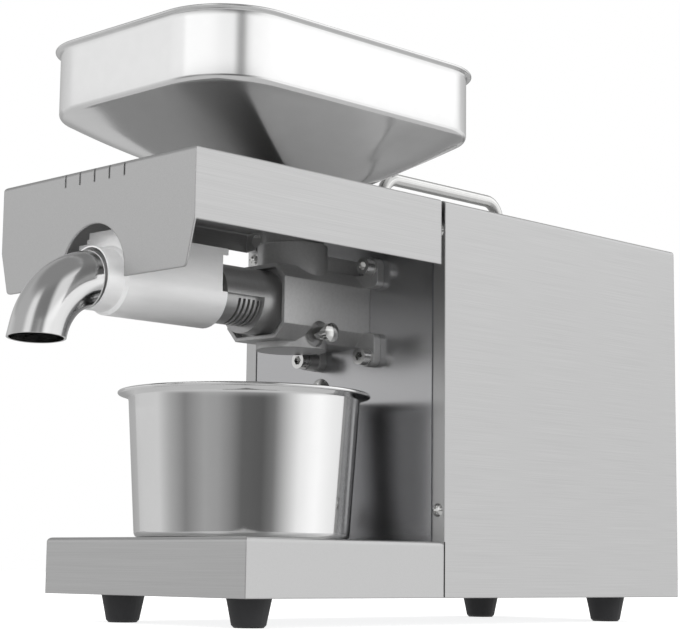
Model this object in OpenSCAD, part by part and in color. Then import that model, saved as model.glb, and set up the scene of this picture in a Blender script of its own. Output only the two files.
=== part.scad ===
// Household screw oil press: a sheet steel housing with a geared motor, a cast
// feed block with a slotted press cage in front of it, a lift-off canopy that
// carries the hopper, and a loose bowl on the base platform.
// The press screw turns about an axis along Y. The residue spout points to -Y.

/* [Housing] */
// Width of the housing and of the base platform
body_w = 170; // [160:1:200]
// Depth of the housing behind its front face
body_d = 233; // [228:1:280]
// Height of the housing's top above the table
body_top = 246.7; // [240:0.1:280]
// Thickness of the steel sheet
sheet_t = 1.2; // [0.8:0.1:1.8]
// Outside radius of the sheet's bends
bend_r = 2.5; // [2:0.1:5]
// Width of the casing's folded returns
return_w = 9; // [7:0.5:12]
// Gap round the front plate
plate_gap = 1.1; // [0.5:0.1:2]
// Thickness of the bulkhead that carries press head and gearbox
bulkhead_t = 4; // [3:0.5:5]
// Thickness of the bottom plate
bottom_t = 1.5; // [1:0.1:3]

/* [Base and feet] */
// Depth of the base platform in front of the housing
base_d = 153.4; // [145:0.1:190]
// Height of the base platform's sheet
base_h = 31.8; // [24:0.1:45]
// Height of the rubber feet
foot_h = 16; // [10:0.5:25]
// Radius of a foot at the housing
foot_top_r = 12.5; // [10.5:0.5:16]
// Radius of a foot at the table
foot_tip_r = 9.5; // [8:0.5:10]
// Distance of the feet's axes from the side faces
foot_in_x = 31.6; // [20:0.1:45]
// Distance of the front feet's axes from the platform's front
foot_in_front = 31.9; // [20:0.1:50]
// Distance of the rear feet's axes from the housing's back
foot_in_back = 37.1; // [20:0.1:60]

/* [Canopy] */
// How far the canopy's sides stand inside the housing's sides
cover_inset = 0.9; // [0:0.1:4]
// Length of the canopy
cover_l = 190.2; // [186:0.1:210]
// Height of the canopy's top above the housing's top
cover_step = 0.5; // [0:0.1:3]
// Gap between the canopy and the housing
cover_gap = 2.3; // [1:0.1:5]
// Height of the far side wall's shallow rear part
cover_short_h = 13.2; // [10:0.1:30]
// Length of the far side wall's deep front part
cover_deep_l = 100; // [60:0.5:140]
// Height of the deep side walls' edges above the press axis
cover_side_rise = 22.5; // [20:0.1:30]
// How far the front panel reaches below the press axis
cover_front_drop = 1.8; // [0:0.1:5]
// How far the front panel's lower corners taper in
cover_taper = 6.4; // [2:0.1:12]
// Radius of the arch that the spout passes
arch_r = 28; // [24:0.5:34]
// Number of vent slots in the canopy's front edge
vent_n = 5; // [1:1:9]
// Distance between the vent slots
vent_pitch = 12.9; // [6:0.1:16]
// Width of a vent slot
vent_w = 1.3; // [0.8:0.1:3]
// Length of a vent slot on either side of the edge
vent_l = 8; // [4:0.5:14]

/* [Hopper] */
// Width of the hopper pan outside
hopper_w = 166.4; // [140:0.1:200]
// Length of the hopper pan outside
hopper_l = 222; // [180:0.1:250]
// Corner radius of the hopper pan
hopper_corner_r = 40.4; // [25:0.1:55]
// Height of the pan's upright wall
hopper_wall_h = 37.7; // [20:0.1:70]
// Height of the funnel between the canopy and the wall
funnel_h = 45.3; // [35:0.1:70]
// Radius of the bend between the wall and the funnel
hopper_bend_r = 9; // [5:0.5:12]
// Thickness of the hopper's sheet
hopper_t = 1; // [0.8:0.1:1.5]
// Width of the rolled-out rim
hopper_rim_w = 3.2; // [2:0.1:8]
// Thickness of the rolled-out rim
hopper_rim_t = 1.8; // [1:0.1:3]
// How far the pan's centre lies ahead of the throat
hopper_ahead = 23.2; // [10:0.1:35]
// Outside radius of the hopper's neck
neck_r = 15; // [12:0.1:16.5]
// Length of the neck inside the throat tube
neck_l = 20; // [10:0.5:22]

/* [Bowl] */
// Outside radius of the bowl's rim
bowl_rim_r = 73; // [65:0.1:73]
// Outside radius of the bowl's wall at the top
bowl_top_r = 66.6; // [60:0.1:70]
// Outside radius of the bowl's wall at the foot
bowl_foot_r = 61.8; // [50:0.1:62]
// Height of the bowl
bowl_h = 83.8; // [60:0.1:95]
// Thickness of the bowl's wall
bowl_t = 0.9; // [0.6:0.1:1.5]
// Radius of the bowl's lower edge
bowl_edge_r = 9; // [4:0.5:14]
// Gap between the bowl's rim and the housing
bowl_gap = 7.6; // [2:0.1:8]
// How far the bowl stands off the press's middle plane
bowl_off = 1.9; // [0:0.1:8]

/* [Feed block] */
// Height of the press axis above the table
axis_h = 186; // [182:0.5:188]
// Length of the feed block with its flange
block_l = 71.4; // [70:0.1:80]
// Half the block's width
block_half_w = 24.5; // [23:0.1:27]
// Half the block's height
block_half_h = 22; // [21.8:0.1:24]
// Half the height of the block's side flats
block_side_half = 13.7; // [11:0.1:15]
// Half the width of the block's top and bottom flats
block_top_half = 17; // [13:0.1:19]
// Width of the rim round the block's front recess
block_rim = 2.4; // [1.5:0.1:2.5]
// Depth of the block's front recess
block_recess = 6; // [3:0.5:8]
// Thickness of the block's mounting flange
flange_t = 5.4; // [4:0.1:8]
// Radius of the flange's ears
ear_r = 5.8; // [5.7:0.1:7]
// Distance of the ears' screws from the middle plane
ear_x = 30; // [29:0.1:32]
// Half the distance between the upper and lower ears' screws
ear_z = 27.2; // [26:0.1:28.6]
// Distance of the throat's axis from the housing's front
throat_set = 42; // [41:0.1:45]
// Outside radius of the throat boss
throat_r = 21; // [19.5:0.1:23]
// Height of the throat boss above the press axis
throat_rise = 37; // [33:0.1:42]
// Depth of the throat boss below the press axis
throat_drop = 26; // [25:0.1:30]

/* [Press cage and screw] */
// Outside radius of the press cage in the feed block
cage_r = 19.2; // [18.4:0.1:19.3]
// Outside radius of the press cage where its slots are
cage_low_r = 15.3; // [14.5:0.1:16]
// Radius of the bore that the press screw turns in
screw_bore_r = 12; // [11:0.1:12.4]
// Length of cage between the feed block and the sleeve
cage_bare_l = 39.3; // [36:0.1:45]
// Length of cage inside the feed block
cage_root_l = 43; // [42:0.5:46]
// Length of the cage's milled underside behind the sleeve
cage_mill_l = 28.6; // [24:0.1:32]
// Number of oil slots
slot_n = 5; // [3:1:5]
// Distance between oil slots
slot_pitch = 3.6; // [2.5:0.1:3.8]
// Width of an oil slot
slot_w = 1.8; // [0.8:0.1:1.9]
// Turns of the press screw's flight
flight_turns = 7; // [5:1:9]
// Ratio of the last pitch to the first pitch
pitch_ratio_share = 0.6; // [0.5:0.05:1]

/* [Sleeve and spout] */
// Length of the sleeve round the heated cage
sleeve_l = 70.7; // [66:0.1:85]
// Length of the collar that holds the spout
collar_l = 13; // [11:0.5:20]
// Outside radius of the collar
collar_r = 17.4; // [17.4:0.1:19]
// Height of the hood above the press axis
hood_rise = 24.5; // [21:0.1:28]
// Height of the hood's front plate above the press axis
hood_front_rise = 28; // [28:0.1:31]
// Radius of the spout tube
spout_r = 15.5; // [14:0.1:15.7]
// Wall of the spout tube
spout_t = 1.2; // [0.8:0.1:2]
// Radius of the spout's bend at its centre line
spout_bend_r = 40.3; // [36:0.1:45]
// Turn of the spout's bend in degrees
spout_turn = 83; // [60:1:88]

/* [Handle] */
// Radius of the handle's rod
rod_r = 4; // [3:0.1:6]
// Height of the handle above the housing
handle_h = 35.8; // [30:0.1:60]
// Distance between the handle's legs
handle_span = 113; // [90:0.5:160]
// Distance of the front leg from the housing's front
handle_set = 36.6; // [20:0.1:50]
// Radius of the handle's bends at the centre line
handle_bend_r = 12; // [7:0.5:16]

/* [Gear train] */
// Teeth of the three pinions
pinion_teeth = 17; // [17:1:19]
// Teeth of the three wheels
wheel_teeth = 44; // [40:1:44]
// Module of the first and second gear pairs
fine_module = 1; // [0.9:0.05:1]
// Module of the last gear pair
coarse_module = 1.25; // [1.2:0.05:1.3]
// Height of the press axis above the motor axis
motor_drop = 70; // [66:0.5:74]
// Wall of the gearbox case
case_t = 6; // [5:0.5:7]

/* [Motor] */
// Outside radius of the motor can
motor_r = 46; // [44:0.5:48]
// Length of the housing that gearbox, motor fan and rear panel take up
motor_room = 127; // [125:1:143]
// Number of fan blades
fan_blades = 9; // [5:1:13]
// Number of teeth in the stator
stator_teeth = 12; // [8:1:18]

/* [Rear panel] */
// Number of rows of cooling slots
louvre_rows = 9; // [5:1:11]
// Distance between the rows
louvre_pitch = 8; // [6:0.1:9]
// Width of a cooling slot
louvre_w = 3; // [2:0.1:4]
// How far the power inlet stands proud of the rear panel
inlet_lip = 4; // [3.5:0.1:6]
// Tilt of the rocker switches to either side
rocker_tilt = 9; // [6:1:12]

/* [Hidden] */
$fn = 64;

// Overrun of every cut, and the clearances between pieces
cut = 1;
seat_gap = 0.2;
slide_gap = 0.3;
shaft_gap = 0.05;

// The spout's bend starts inside the collar, whose mouth flares so that the spout can swivel
spout_seat = 6.4;
spout_mouth_over = 3;
spout_reach = (spout_bend_r + spout_r) * sin(spout_turn);
collar_bore_r = spout_r + slide_gap;
collar_mouth_r = spout_bend_r - sqrt(pow(spout_bend_r - spout_r, 2) - spout_seat * spout_seat) + slide_gap;

// Stations along Y, counted from the housing's front face. The finished press is moved so that
// the middle of its whole length lies over the origin
head_reach = block_l + cage_bare_l + sleeve_l + collar_l - spout_seat + spout_reach;
total_l = head_reach + body_d + inlet_lip;
centre_shift = head_reach - total_l / 2;
body_front = 0;
body_back = body_front + body_d;
base_front = body_front - base_d;
block_front = body_front - block_l;
throat_y = body_front - throat_set;
sleeve_rear = block_front - cage_bare_l;
sleeve_front = sleeve_rear - sleeve_l;
collar_front = sleeve_front - collar_l;
bend_y = collar_front + spout_seat;
cover_rear = body_front - cover_gap;
cover_front = cover_rear - cover_l;

// Levels along Z
base_top = foot_h + base_h;
cover_top = body_top + cover_step;
cover_side_z = axis_h + cover_side_rise;
cover_low_z = axis_h - cover_front_drop;
cover_w = body_w - 2 * cover_inset;
motor_z = axis_h - motor_drop;
floor_z = foot_h + bottom_t;

// Inside width of the casing and half the width of its front opening
inner_w = body_w - 2 * sheet_t;
opening_half = body_w / 2 - return_w;

// Screws with a domed pan head
pan_r = 3.9;
pan_h = 2.3;
pan_shank_r = 2;
pan_grip = 5;
pan_slot_w = 1;
pan_slot_l = 4.4;
pan_slot_deep = 1;
casing_screw_low = 18.2;
casing_screw_high = 17.5;
casing_screw_in = 5;
plate_screw_x = -17.4;
plate_screw_drop = 47;
plate_screw_low = 14;
plate_screw_r = 9;
plate_screw_h = 4;
plate_slot_w = 2;
plate_slot_deep = 1.8;

// Feet
foot_hole_r = 2.6;
foot_bore_r = 6;
foot_bore_h = 9;
foot_screw_head_r = 4.6;
foot_screw_head_h = 3;
foot_nut_h = 4;
foot_nut_r = 4.6;
foot_round = 1.5;

// Front plate, bulkhead and their holes
plate_lap = 6;
bulkhead_hole_r = 16;
plate_hole_r = 17;
m6_r = 3;
m6_hole_r = 3.3;
m6_head_r = 5;
m6_head_h = 6;
m6_hex_af = 5;
m6_hex_deep = 3;
washer_r = 5.5;
washer_t = 1.2;
far_spacer_t = 6.6;

// The ears' middle lies below the axis, and the lower ears further in than the upper ones
ear_mid_drop = 1;
ear_low_in = 2.4;
ear_far_x = 18;
ear_corner_r = 4;

// Thickness of the slabs that the funnel is drawn between
funnel_slab_t = 0.5;

// Canopy details
arch_lift = 2;
panel_corner_r = 3;
stud_r = 2;
stud_head_r = 4;
stud_head_t = 1.4;
stud_in = 12;
stud_drop = 6.9;
hook_w = 20;
pilot_wall = 1.6;
pilot_rise = 2.6;

// Bowl's rim
bowl_rim_fall = 3.4;
bowl_bead_r = 1.1;

// Throat tube and its bore
tube_wall = 3.4;
throat_bore_r = neck_r + slide_gap;
tube_r = throat_bore_r + tube_wall;
pilot_r = throat_bore_r + pilot_wall;
throat_top = axis_h + throat_rise;
cover_under = cover_top - sheet_t;

// Locking pin
pin_r = 3.9;
pin_head_r = 5.6;
pin_head_l = 4.5;
pin_drop = 17.4;
pin_out = 31.5;
pin_tail = 20;
pin_recess_r = 7.4;
pin_recess_in = 17.5;

// Half the turn at a corner of an octagon
octagon_half_turn = 22.5;

// Web behind the throat
web_half = 15;
web_rise = 31.5;

// Press screw, its cone and its hexagonal tail
flight_gap = 0.35;
flight_r = screw_bore_r - flight_gap;
core_feed_r = 6.2;
core_end_r = 9.2;
flight_root_half = 2.1;
flight_tip_half = 1.1;
flight_sink = 1.2;
screw_tip_l = 15;
screw_tip_r = 5;
tail_af = 12;
tail_l = 17;
tail_neck_r = 7.4;
tail_neck_l = 4;

// Oil slots: rear edge of the last one ahead of the milling's end, and their top below the axis
slot_set = 2.1;
slot_top_drop = 1.6;

// Cage nose in the sleeve, nozzle and heater
nose_l = 43;
nozzle_l = 17;
nozzle_lip_r = 9.8;
nozzle_lap = 8;
heater_gap = 0.15;
heater_t = 1.9;
heater_l = 26;
heater_split = 5;
heater_lug_h = 7;
heater_lug_t = 2;
sleeve_r = 19.2;
sleeve_wall = 1.5;
nozzle_r = sleeve_r - sleeve_wall - heater_gap;

// Hood's front plate and its rear tab
hood_wing = 7;
hood_step_rise = 22;
hood_plate_inset = 2;
hood_rear_short = 4;
hood_tab_l = 4;
hood_tab_h = 3.5;

// Cake leaves the nozzle between the screw's cone and this bore
nozzle_y = sleeve_rear - nose_l;

// Drive shaft, seal and bearings
drive_r = 12;
drive_hex_deep = 20;
journal_r = 8.5;
rear_journal_r = 6;
seal_bore_r = 18;
seal_l = 7;
thrust_r = 15;
thrust_t = 9;
thrust_washer_t = 2.6;
thrust_ball_r = 1.8;
thrust_ball_n = 12;
bearing_w = 10;
bearing_r = 17.5;
rear_bearing_r = 14;
rear_bearing_w = 8;
bearing_ball_n = 8;
ball_share = 0.92;
bearing_face = 2;
key_room = 0.5;

// Gearbox: three layers of gears between the case wall and the cover
gear_w = 10;
last_gear_w = 12;
layer_gap = 2;
gear_backlash = 0.05;
root_depth_share = 1.25;
pressure_turn = 20;
idler_pin_r = 4;
idler_hub_r = 6.5;
case_room = 5;
case_round = 10;
cover_boss_l = 5;
case_boss_t = 7;
boss_wall = 4;
case_front = body_front + sheet_t + bulkhead_t;
layer3_y = case_front + case_boss_t + bearing_face + case_t - layer_gap;
layer2_y = layer3_y + last_gear_w + layer_gap;
layer1_y = layer2_y + gear_w + layer_gap;
cover_y = layer1_y + gear_w + 2 * layer_gap;
motor_front = cover_y + case_t;
rear_bearing_y = cover_y - cover_boss_l;

// Centres of the gears in the X-Z plane. Two idlers zigzag between motor and press axis
fine_centres = fine_module * (pinion_teeth + wheel_teeth) / 2;
coarse_centres = coarse_module * (pinion_teeth + wheel_teeth) / 2;
motor_c = [0, motor_z];
output_c = [0, axis_h];
idler1_turn = 148;
idler1_c = motor_c + fine_centres * [cos(idler1_turn), sin(idler1_turn)];
idler2_c = two_circles(idler1_c, fine_centres, output_c, coarse_centres);
case_screw_r = 2.5;
case_screw_head_r = 4.2;
case_screw_head_h = 4;
case_screw_in = 6;
case_screw_boss_r = 5.5;
case_x0 = idler1_c[0] - fine_module * (wheel_teeth / 2 + 1) - case_room - case_t;
case_x1 = motor_r + case_screw_head_r + case_screw_in;
case_z0 = motor_z - fine_module * (pinion_teeth / 2 + 1) - case_room - case_t;
case_z1 = axis_h + coarse_module * (wheel_teeth / 2 + 1) + case_room / 2 + case_t;

// Motor
motor_shaft_r = 4;
can_wall = 2;
rotor_r = 24;
air_gap = 0.6;
stator_yoke = 8;
stator_tooth_w = 7;
stator_tip_t = 2;
end_turn_r = 5.5;
end_turn_centre = 33;
bell_t = 5;
bell_round = 8;
motor_bearing_r = 11;
motor_bearing_w = 7;
motor_l = body_d - motor_room;
motor_back = motor_front + motor_l;
winding_room = 23;
stator_l = motor_l - 2 * winding_room;
rotor_l = stator_l;
stator_y = motor_front + winding_room;
fan_r = 34;
fan_hub_r = 9;
fan_w = 9;
fan_blade_t = 1.6;
fan_gap = 2;
shaft_end_l = 2;
cradle_half = 34;
cradle_t = 3;
cradle_set = 24;
cradle_short = 9;
cradle_l = motor_l / 2 - cradle_short;
cradle_foot_t = 3;

// Capacitor beside the motor
cap_r = 15;
cap_short = 6;
cap_l = motor_l - cradle_l - cap_short;
cap_gap = 2;
cap_post_r = 2;
cap_post_h = 6;
clip_t = 1.5;
clip_l = 14;
clip_foot = 10;
clip_wall_gap = 0.8;
cap_x = clip_wall_gap + clip_foot + cap_r - inner_w / 2;

// Rear panel: slots, inlet and switches
louvre_half = 20;
louvre_column = 26;
louvre_drop = 18;
inlet_in = 39;
inlet_x = body_w / 2 - inlet_in;
inlet_z = 60;
inlet_w = 28;
inlet_h = 24;
inlet_ear = 10;
inlet_body_w = 25;
inlet_body_h = 20;
inlet_deep = 24;
inlet_socket_w = 19;
inlet_socket_h = 12;
inlet_socket_deep = 16;
inlet_round = 3;
inlet_blade_w = 4;
inlet_blade_t = 2;
inlet_blade_l = 10;
inlet_blade_gap = 7;
switch_x = inlet_in - body_w / 2;
switch_gap = 32;
switch_w = 21;
switch_h = 28;
switch_face = 1.5;
switch_body_w = 18;
switch_body_h = 24;
switch_deep = 20;
switch_well = 8;
rocker_w = 14;
rocker_h = 20;
rocker_rise = 1;
rocker_deep = 4;
rocker_gap = 0.8;
rocker_axle_r = 1.4;
rocker_axle_in = 1.6;
rocker_axle_deep = 1.8;
rear_screw_in = 4.5;

// Handle's threaded ends
handle_thread = 7;
handle_nut_af = 13;
handle_nut_h = 6;
handle_collar_w = 2.5;
handle_collar_h = 2;

// Moves the press from its own stations to the origin
module placed() translate([0, centre_shift, 0]) children();

// Helpers: solids from a flat outline, along Y from a station, or along X
module along_y(y, l) {
    translate([0, y + l, 0]) rotate([90, 0, 0]) linear_extrude(l) children();
}
module along_x(x, l) {
    translate([x, 0, 0]) rotate([90, 0, 90]) linear_extrude(l) children();
}
// A round bar along +Y, starting at station y on the point [x, z]
module bar_y(y, l, r, c = output_c) {
    translate([c[0], y, c[1]]) rotate([-90, 0, 0]) cylinder(r = r, h = l);
}
module ring_y(y, l, r_out, r_in, c = output_c) {
    difference() {
        bar_y(y, l, r_out, c);
        bar_y(y - cut, l + 2 * cut, r_in, c);
    }
}
module cone_y(y, l, r_a, r_b, c = output_c) {
    translate([c[0], y, c[1]]) rotate([-90, 0, 0]) cylinder(r1 = r_a, r2 = r_b, h = l);
}
module hex_y(y, l, af, c = output_c) {
    translate([c[0], y, c[1]]) rotate([-90, 0, 0]) cylinder(r = af / sqrt(3), h = l, $fn = 6);
}
// A rectangle with round corners, centred
module round_rect(w, h, r) {
    square([w - 2 * r, h], center = true);
    square([w, h - 2 * r], center = true);
    for (i = [-1, 1], j = [-1, 1])
        translate([i * (w / 2 - r), j * (h / 2 - r)]) circle(r);
}
// An upright rectangle on the X axis with its two upper corners round
module round_top(w, h, r) {
    translate([-w / 2, 0]) square([w, h - r]);
    translate([r - w / 2, 0]) square([w - 2 * r, h]);
    for (i = [-1, 1]) translate([i * (w / 2 - r), h - r]) circle(r);
}
// A rectangle from the origin with its upper corner at the left round
module round_front(l, h, r) {
    translate([r, 0]) square([l - r, h]);
    square([l, h - r]);
    translate([r, h - r]) circle(r);
}
// A slot with round ends, centred, along X
module round_slot(l, w) {
    square([l - w, w], center = true);
    for (i = [-1, 1]) translate([i * (l - w) / 2, 0]) circle(w / 2);
}
// The upper meeting point, to the right, of circles about a and b
function two_circles(a, ra, b, rb) =
    let (d = b - a, l = norm(d), u = d / l, along = (ra * ra - rb * rb + l * l) / (2 * l),
        side = sqrt(ra * ra - along * along))
    a + along * u + side * [u[1], -u[0]];

// A domed disc of that rim radius and height
module dome(r, h) {
    ball_r = (r * r + h * h) / (2 * h);
    intersection() {
        translate([0, 0, h - ball_r]) sphere(ball_r);
        cylinder(r = r, h = h);
    }
}
// Pan head screw along +Z, head above the plane
module pan_screw() {
    difference() {
        dome(pan_r, pan_h);
        for (a = [0, 90]) rotate(a)
            translate([-pan_slot_l / 2, -pan_slot_w / 2, pan_h - pan_slot_deep])
                cube([pan_slot_l, pan_slot_w, pan_slot_deep + cut]);
    }
    translate([0, 0, -pan_grip]) cylinder(r = pan_shank_r, h = pan_grip);
}

// Base and housing
module base_platform() color("silver") {
    difference() {
        intersection() {
            along_y(base_front, base_d) translate([0, foot_h]) round_top(body_w, base_h, bend_r);
            along_x(-body_w / 2, body_w) translate([base_front, foot_h]) round_front(base_d, base_h, bend_r);
        }
        translate([-inner_w / 2, base_front + sheet_t, foot_h - cut])
            cube([inner_w, base_d, base_h - sheet_t + cut]);
    }
}
module foot_places() {
    for (i = [-1, 1], y = [base_front + foot_in_front, body_back - foot_in_back])
        translate([i * (body_w / 2 - foot_in_x), y, 0]) children();
}
module bottom_plate() color("lightgray") {
    difference() {
        translate([-inner_w / 2, base_front + sheet_t, foot_h])
            cube([inner_w, base_d + body_d - 3 * sheet_t, bottom_t]);
        foot_places() translate([0, 0, foot_h - cut]) cylinder(r = foot_hole_r, h = bottom_t + 2 * cut);
    }
}
module feet() color("dimgray") {
    foot_places() difference() {
        rotate_extrude() {
            polygon([[0, 0], [foot_tip_r - foot_round, 0], [foot_tip_r, foot_round],
                [foot_top_r, foot_h], [0, foot_h]]);
        }
        translate([0, 0, -cut]) cylinder(r = foot_bore_r, h = foot_bore_h + cut);
        cylinder(r = foot_hole_r, h = foot_h + cut);
    }
}
module foot_screws() color("gainsboro") {
    foot_places() {
        translate([0, 0, foot_bore_h - foot_screw_head_h])
            cylinder(r = foot_screw_head_r, h = foot_screw_head_h);
        translate([0, 0, foot_bore_h])
            cylinder(r = foot_hole_r - seat_gap, h = floor_z + foot_nut_h - foot_bore_h);
        translate([0, 0, floor_z]) cylinder(r = foot_nut_r, h = foot_nut_h, $fn = 6);
    }
}
module handle_places() {
    for (y = [handle_set, handle_set + handle_span]) translate([0, body_front + y, 0]) children();
}
module body_casing() color("silver") {
    inner_top = body_top - sheet_t - foot_h;
    inner_r = bend_r - sheet_t;
    difference() {
        along_y(body_front, body_d) translate([0, foot_h]) round_top(body_w, body_top - foot_h, bend_r);
        along_y(body_front + sheet_t, body_d - 3 * sheet_t)
            translate([0, foot_h - cut]) round_top(inner_w, inner_top + cut, inner_r);
        along_y(body_back - sheet_t, sheet_t + cut)
            translate([0, foot_h - cut]) round_top(inner_w, inner_top + cut, inner_r);
        translate([-opening_half, body_front - cut, foot_h - cut])
            cube([2 * opening_half, body_d + 2 * cut, body_top - foot_h - return_w + cut]);
        // The front return ends above the bottom plate
        translate([-inner_w / 2, body_front - cut, foot_h - cut])
            cube([inner_w, sheet_t + 2 * cut, bottom_t + cut]);
        handle_places() translate([0, 0, body_top - sheet_t - cut])
            cylinder(r = rod_r + seat_gap, h = sheet_t + 2 * cut);
        casing_screw_places() cylinder(r = pan_shank_r + seat_gap, h = 2 * cut + sheet_t, center = true);
        rear_screw_places() cylinder(r = pan_shank_r + shaft_gap, h = 4 * sheet_t + cut, center = true);
        stud_places() translate([0, 0, -sheet_t - cut])
            cylinder(r = stud_r + shaft_gap, h = sheet_t + 2 * cut);
    }
}
module front_plate() color("darkgray") {
    plate_half = opening_half - plate_gap;
    plate_z0 = base_top - plate_lap;
    difference() {
        translate([-plate_half, body_front, plate_z0])
            cube([2 * plate_half, sheet_t, body_top - return_w - plate_gap - plate_z0]);
        bar_y(body_front - cut, sheet_t + 2 * cut, plate_hole_r);
        ear_places(body_front - cut) cylinder(r = m6_hole_r, h = sheet_t + 2 * cut);
        plate_screw_places() cylinder(r = pan_shank_r + seat_gap, h = 2 * cut + sheet_t, center = true);
    }
}
// Places of the flange's four screws, with +Z of each pointing along +Y
function ear_spot(i, j) = [
    j > 0 ? i * ear_x : (i > 0 ? ear_x - ear_low_in : -ear_far_x),
    axis_h - ear_mid_drop + j * ear_z];
module ear_places(y) {
    for (i = [-1, 1], j = [-1, 1])
        translate([ear_spot(i, j)[0], y, ear_spot(i, j)[1]]) rotate([-90, 0, 0]) children();
}
module plate_screw_places() {
    for (z = [axis_h - plate_screw_drop, base_top + plate_screw_low])
        translate([plate_screw_x, body_front, z]) rotate([90, 0, 0]) children();
}
module casing_screw_places() {
    for (i = [-1, 1], z = [base_top + casing_screw_low, body_top - casing_screw_high])
        translate([i * (body_w / 2 - casing_screw_in), body_front, z]) rotate([90, 0, 0]) children();
}
module bulkhead() color("slategray") {
    difference() {
        translate([-inner_w / 2, body_front + sheet_t, floor_z])
            cube([inner_w, bulkhead_t, body_top - bend_r - sheet_t - floor_z]);
        bar_y(body_front, sheet_t + bulkhead_t + cut, bulkhead_hole_r);
        ear_places(body_front) cylinder(r = m6_hole_r, h = sheet_t + bulkhead_t + cut);
        casing_screw_places() translate([0, 0, -pan_grip - cut])
            cylinder(r = pan_shank_r + shaft_gap, h = pan_grip + cut);
        plate_screw_places() translate([0, 0, -pan_grip - cut])
            cylinder(r = pan_shank_r + shaft_gap, h = pan_grip + cut);
        stud_places() translate([0, 0, -cut]) cylinder(r = stud_r + shaft_gap, h = bulkhead_t + 2 * cut);
        case_screw_places(body_front)
            cylinder(r = case_screw_r + shaft_gap, h = bulkhead_t + sheet_t + cut);
    }
}
module casing_screws() color("gainsboro") casing_screw_places() pan_screw();
module plate_screws() color("gainsboro") plate_screw_places() {
    difference() {
        dome(plate_screw_r, plate_screw_h);
        translate([-plate_slot_w / 2, -plate_screw_r, plate_screw_h - plate_slot_deep])
            cube([plate_slot_w, 2 * plate_screw_r, plate_slot_deep + cut]);
    }
    translate([0, 0, -pan_grip]) cylinder(r = pan_shank_r, h = pan_grip);
}
module rear_screw_places() {
    for (i = [-1, 1], z = [floor_z + return_w, body_top - return_w])
        translate([i * (body_w / 2 - sheet_t - rear_screw_in), body_back, z]) rotate([-90, 0, 0]) children();
}
module rear_panel_screws() color("gainsboro") rear_screw_places() pan_screw();
module rear_panel() color("silver") {
    panel_w = inner_w - 2 * seat_gap;
    panel_h = body_top - sheet_t - seat_gap - foot_h;
    hole_t = 2 * sheet_t + cut;
    difference() {
        along_y(body_back - sheet_t, sheet_t)
            translate([0, foot_h]) round_top(panel_w, panel_h, bend_r - sheet_t);
        for (k = [0 : louvre_rows - 1], i = [-1, 1])
            translate([i * louvre_column, body_back,
                axis_h - louvre_drop + ((louvre_rows - 1) / 2 - k) * louvre_pitch])
                rotate([90, 0, 0]) linear_extrude(hole_t, center = true)
                    round_slot(2 * louvre_half, louvre_w);
        translate([inlet_x, body_back, inlet_z])
            cube([inlet_body_w + 2 * seat_gap, hole_t, inlet_body_h + 2 * seat_gap], center = true);
        for (k = [0, 1]) translate([switch_x, body_back, inlet_z + k * switch_gap])
            cube([switch_body_w + 2 * seat_gap, hole_t, switch_body_h + 2 * seat_gap], center = true);
        rear_screw_places() cylinder(r = pan_shank_r + shaft_gap, h = hole_t, center = true);
    }
}

// Canopy, hopper and bowl
module stud_places() {
    for (i = [-1, 1])
        translate([i * (cover_w / 2 - stud_in), body_front + sheet_t, cover_top - stud_drop])
            rotate([-90, 0, 0]) children();
}
// Each stud holds the canopy's folded edge behind its head
module cover_studs() color("gainsboro") {
    hook_y = cover_gap + sheet_t;
    stud_places() {
        translate([0, 0, -hook_y - sheet_t - seat_gap]) {
            cylinder(r = stud_r, h = hook_y + sheet_t + seat_gap + bulkhead_t);
            translate([0, 0, -stud_head_t]) cylinder(r = stud_head_r, h = stud_head_t);
        }
    }
}
module cover_outline() {
    half = cover_w / 2;
    r = panel_corner_r;
    low_half = half - cover_taper;
    lean = atan2(cover_taper, cover_side_z - cover_low_z);
    difference() {
        translate([0, cover_low_z]) round_top(cover_w, cover_top - cover_low_z, bend_r);
        for (i = [-1, 1]) {
            translate([i * half, cover_side_z]) rotate(i * -lean)
                translate([i > 0 ? 0 : -half, -half]) square([half, half]);
            translate([i * (low_half - r * tan(45 - lean / 2)), cover_low_z])
                difference() {
                    translate([i > 0 ? 0 : -2 * r, -cut]) square([2 * r, cut + r]);
                    translate([0, r]) circle(r);
                }
        }
    }
}
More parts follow.
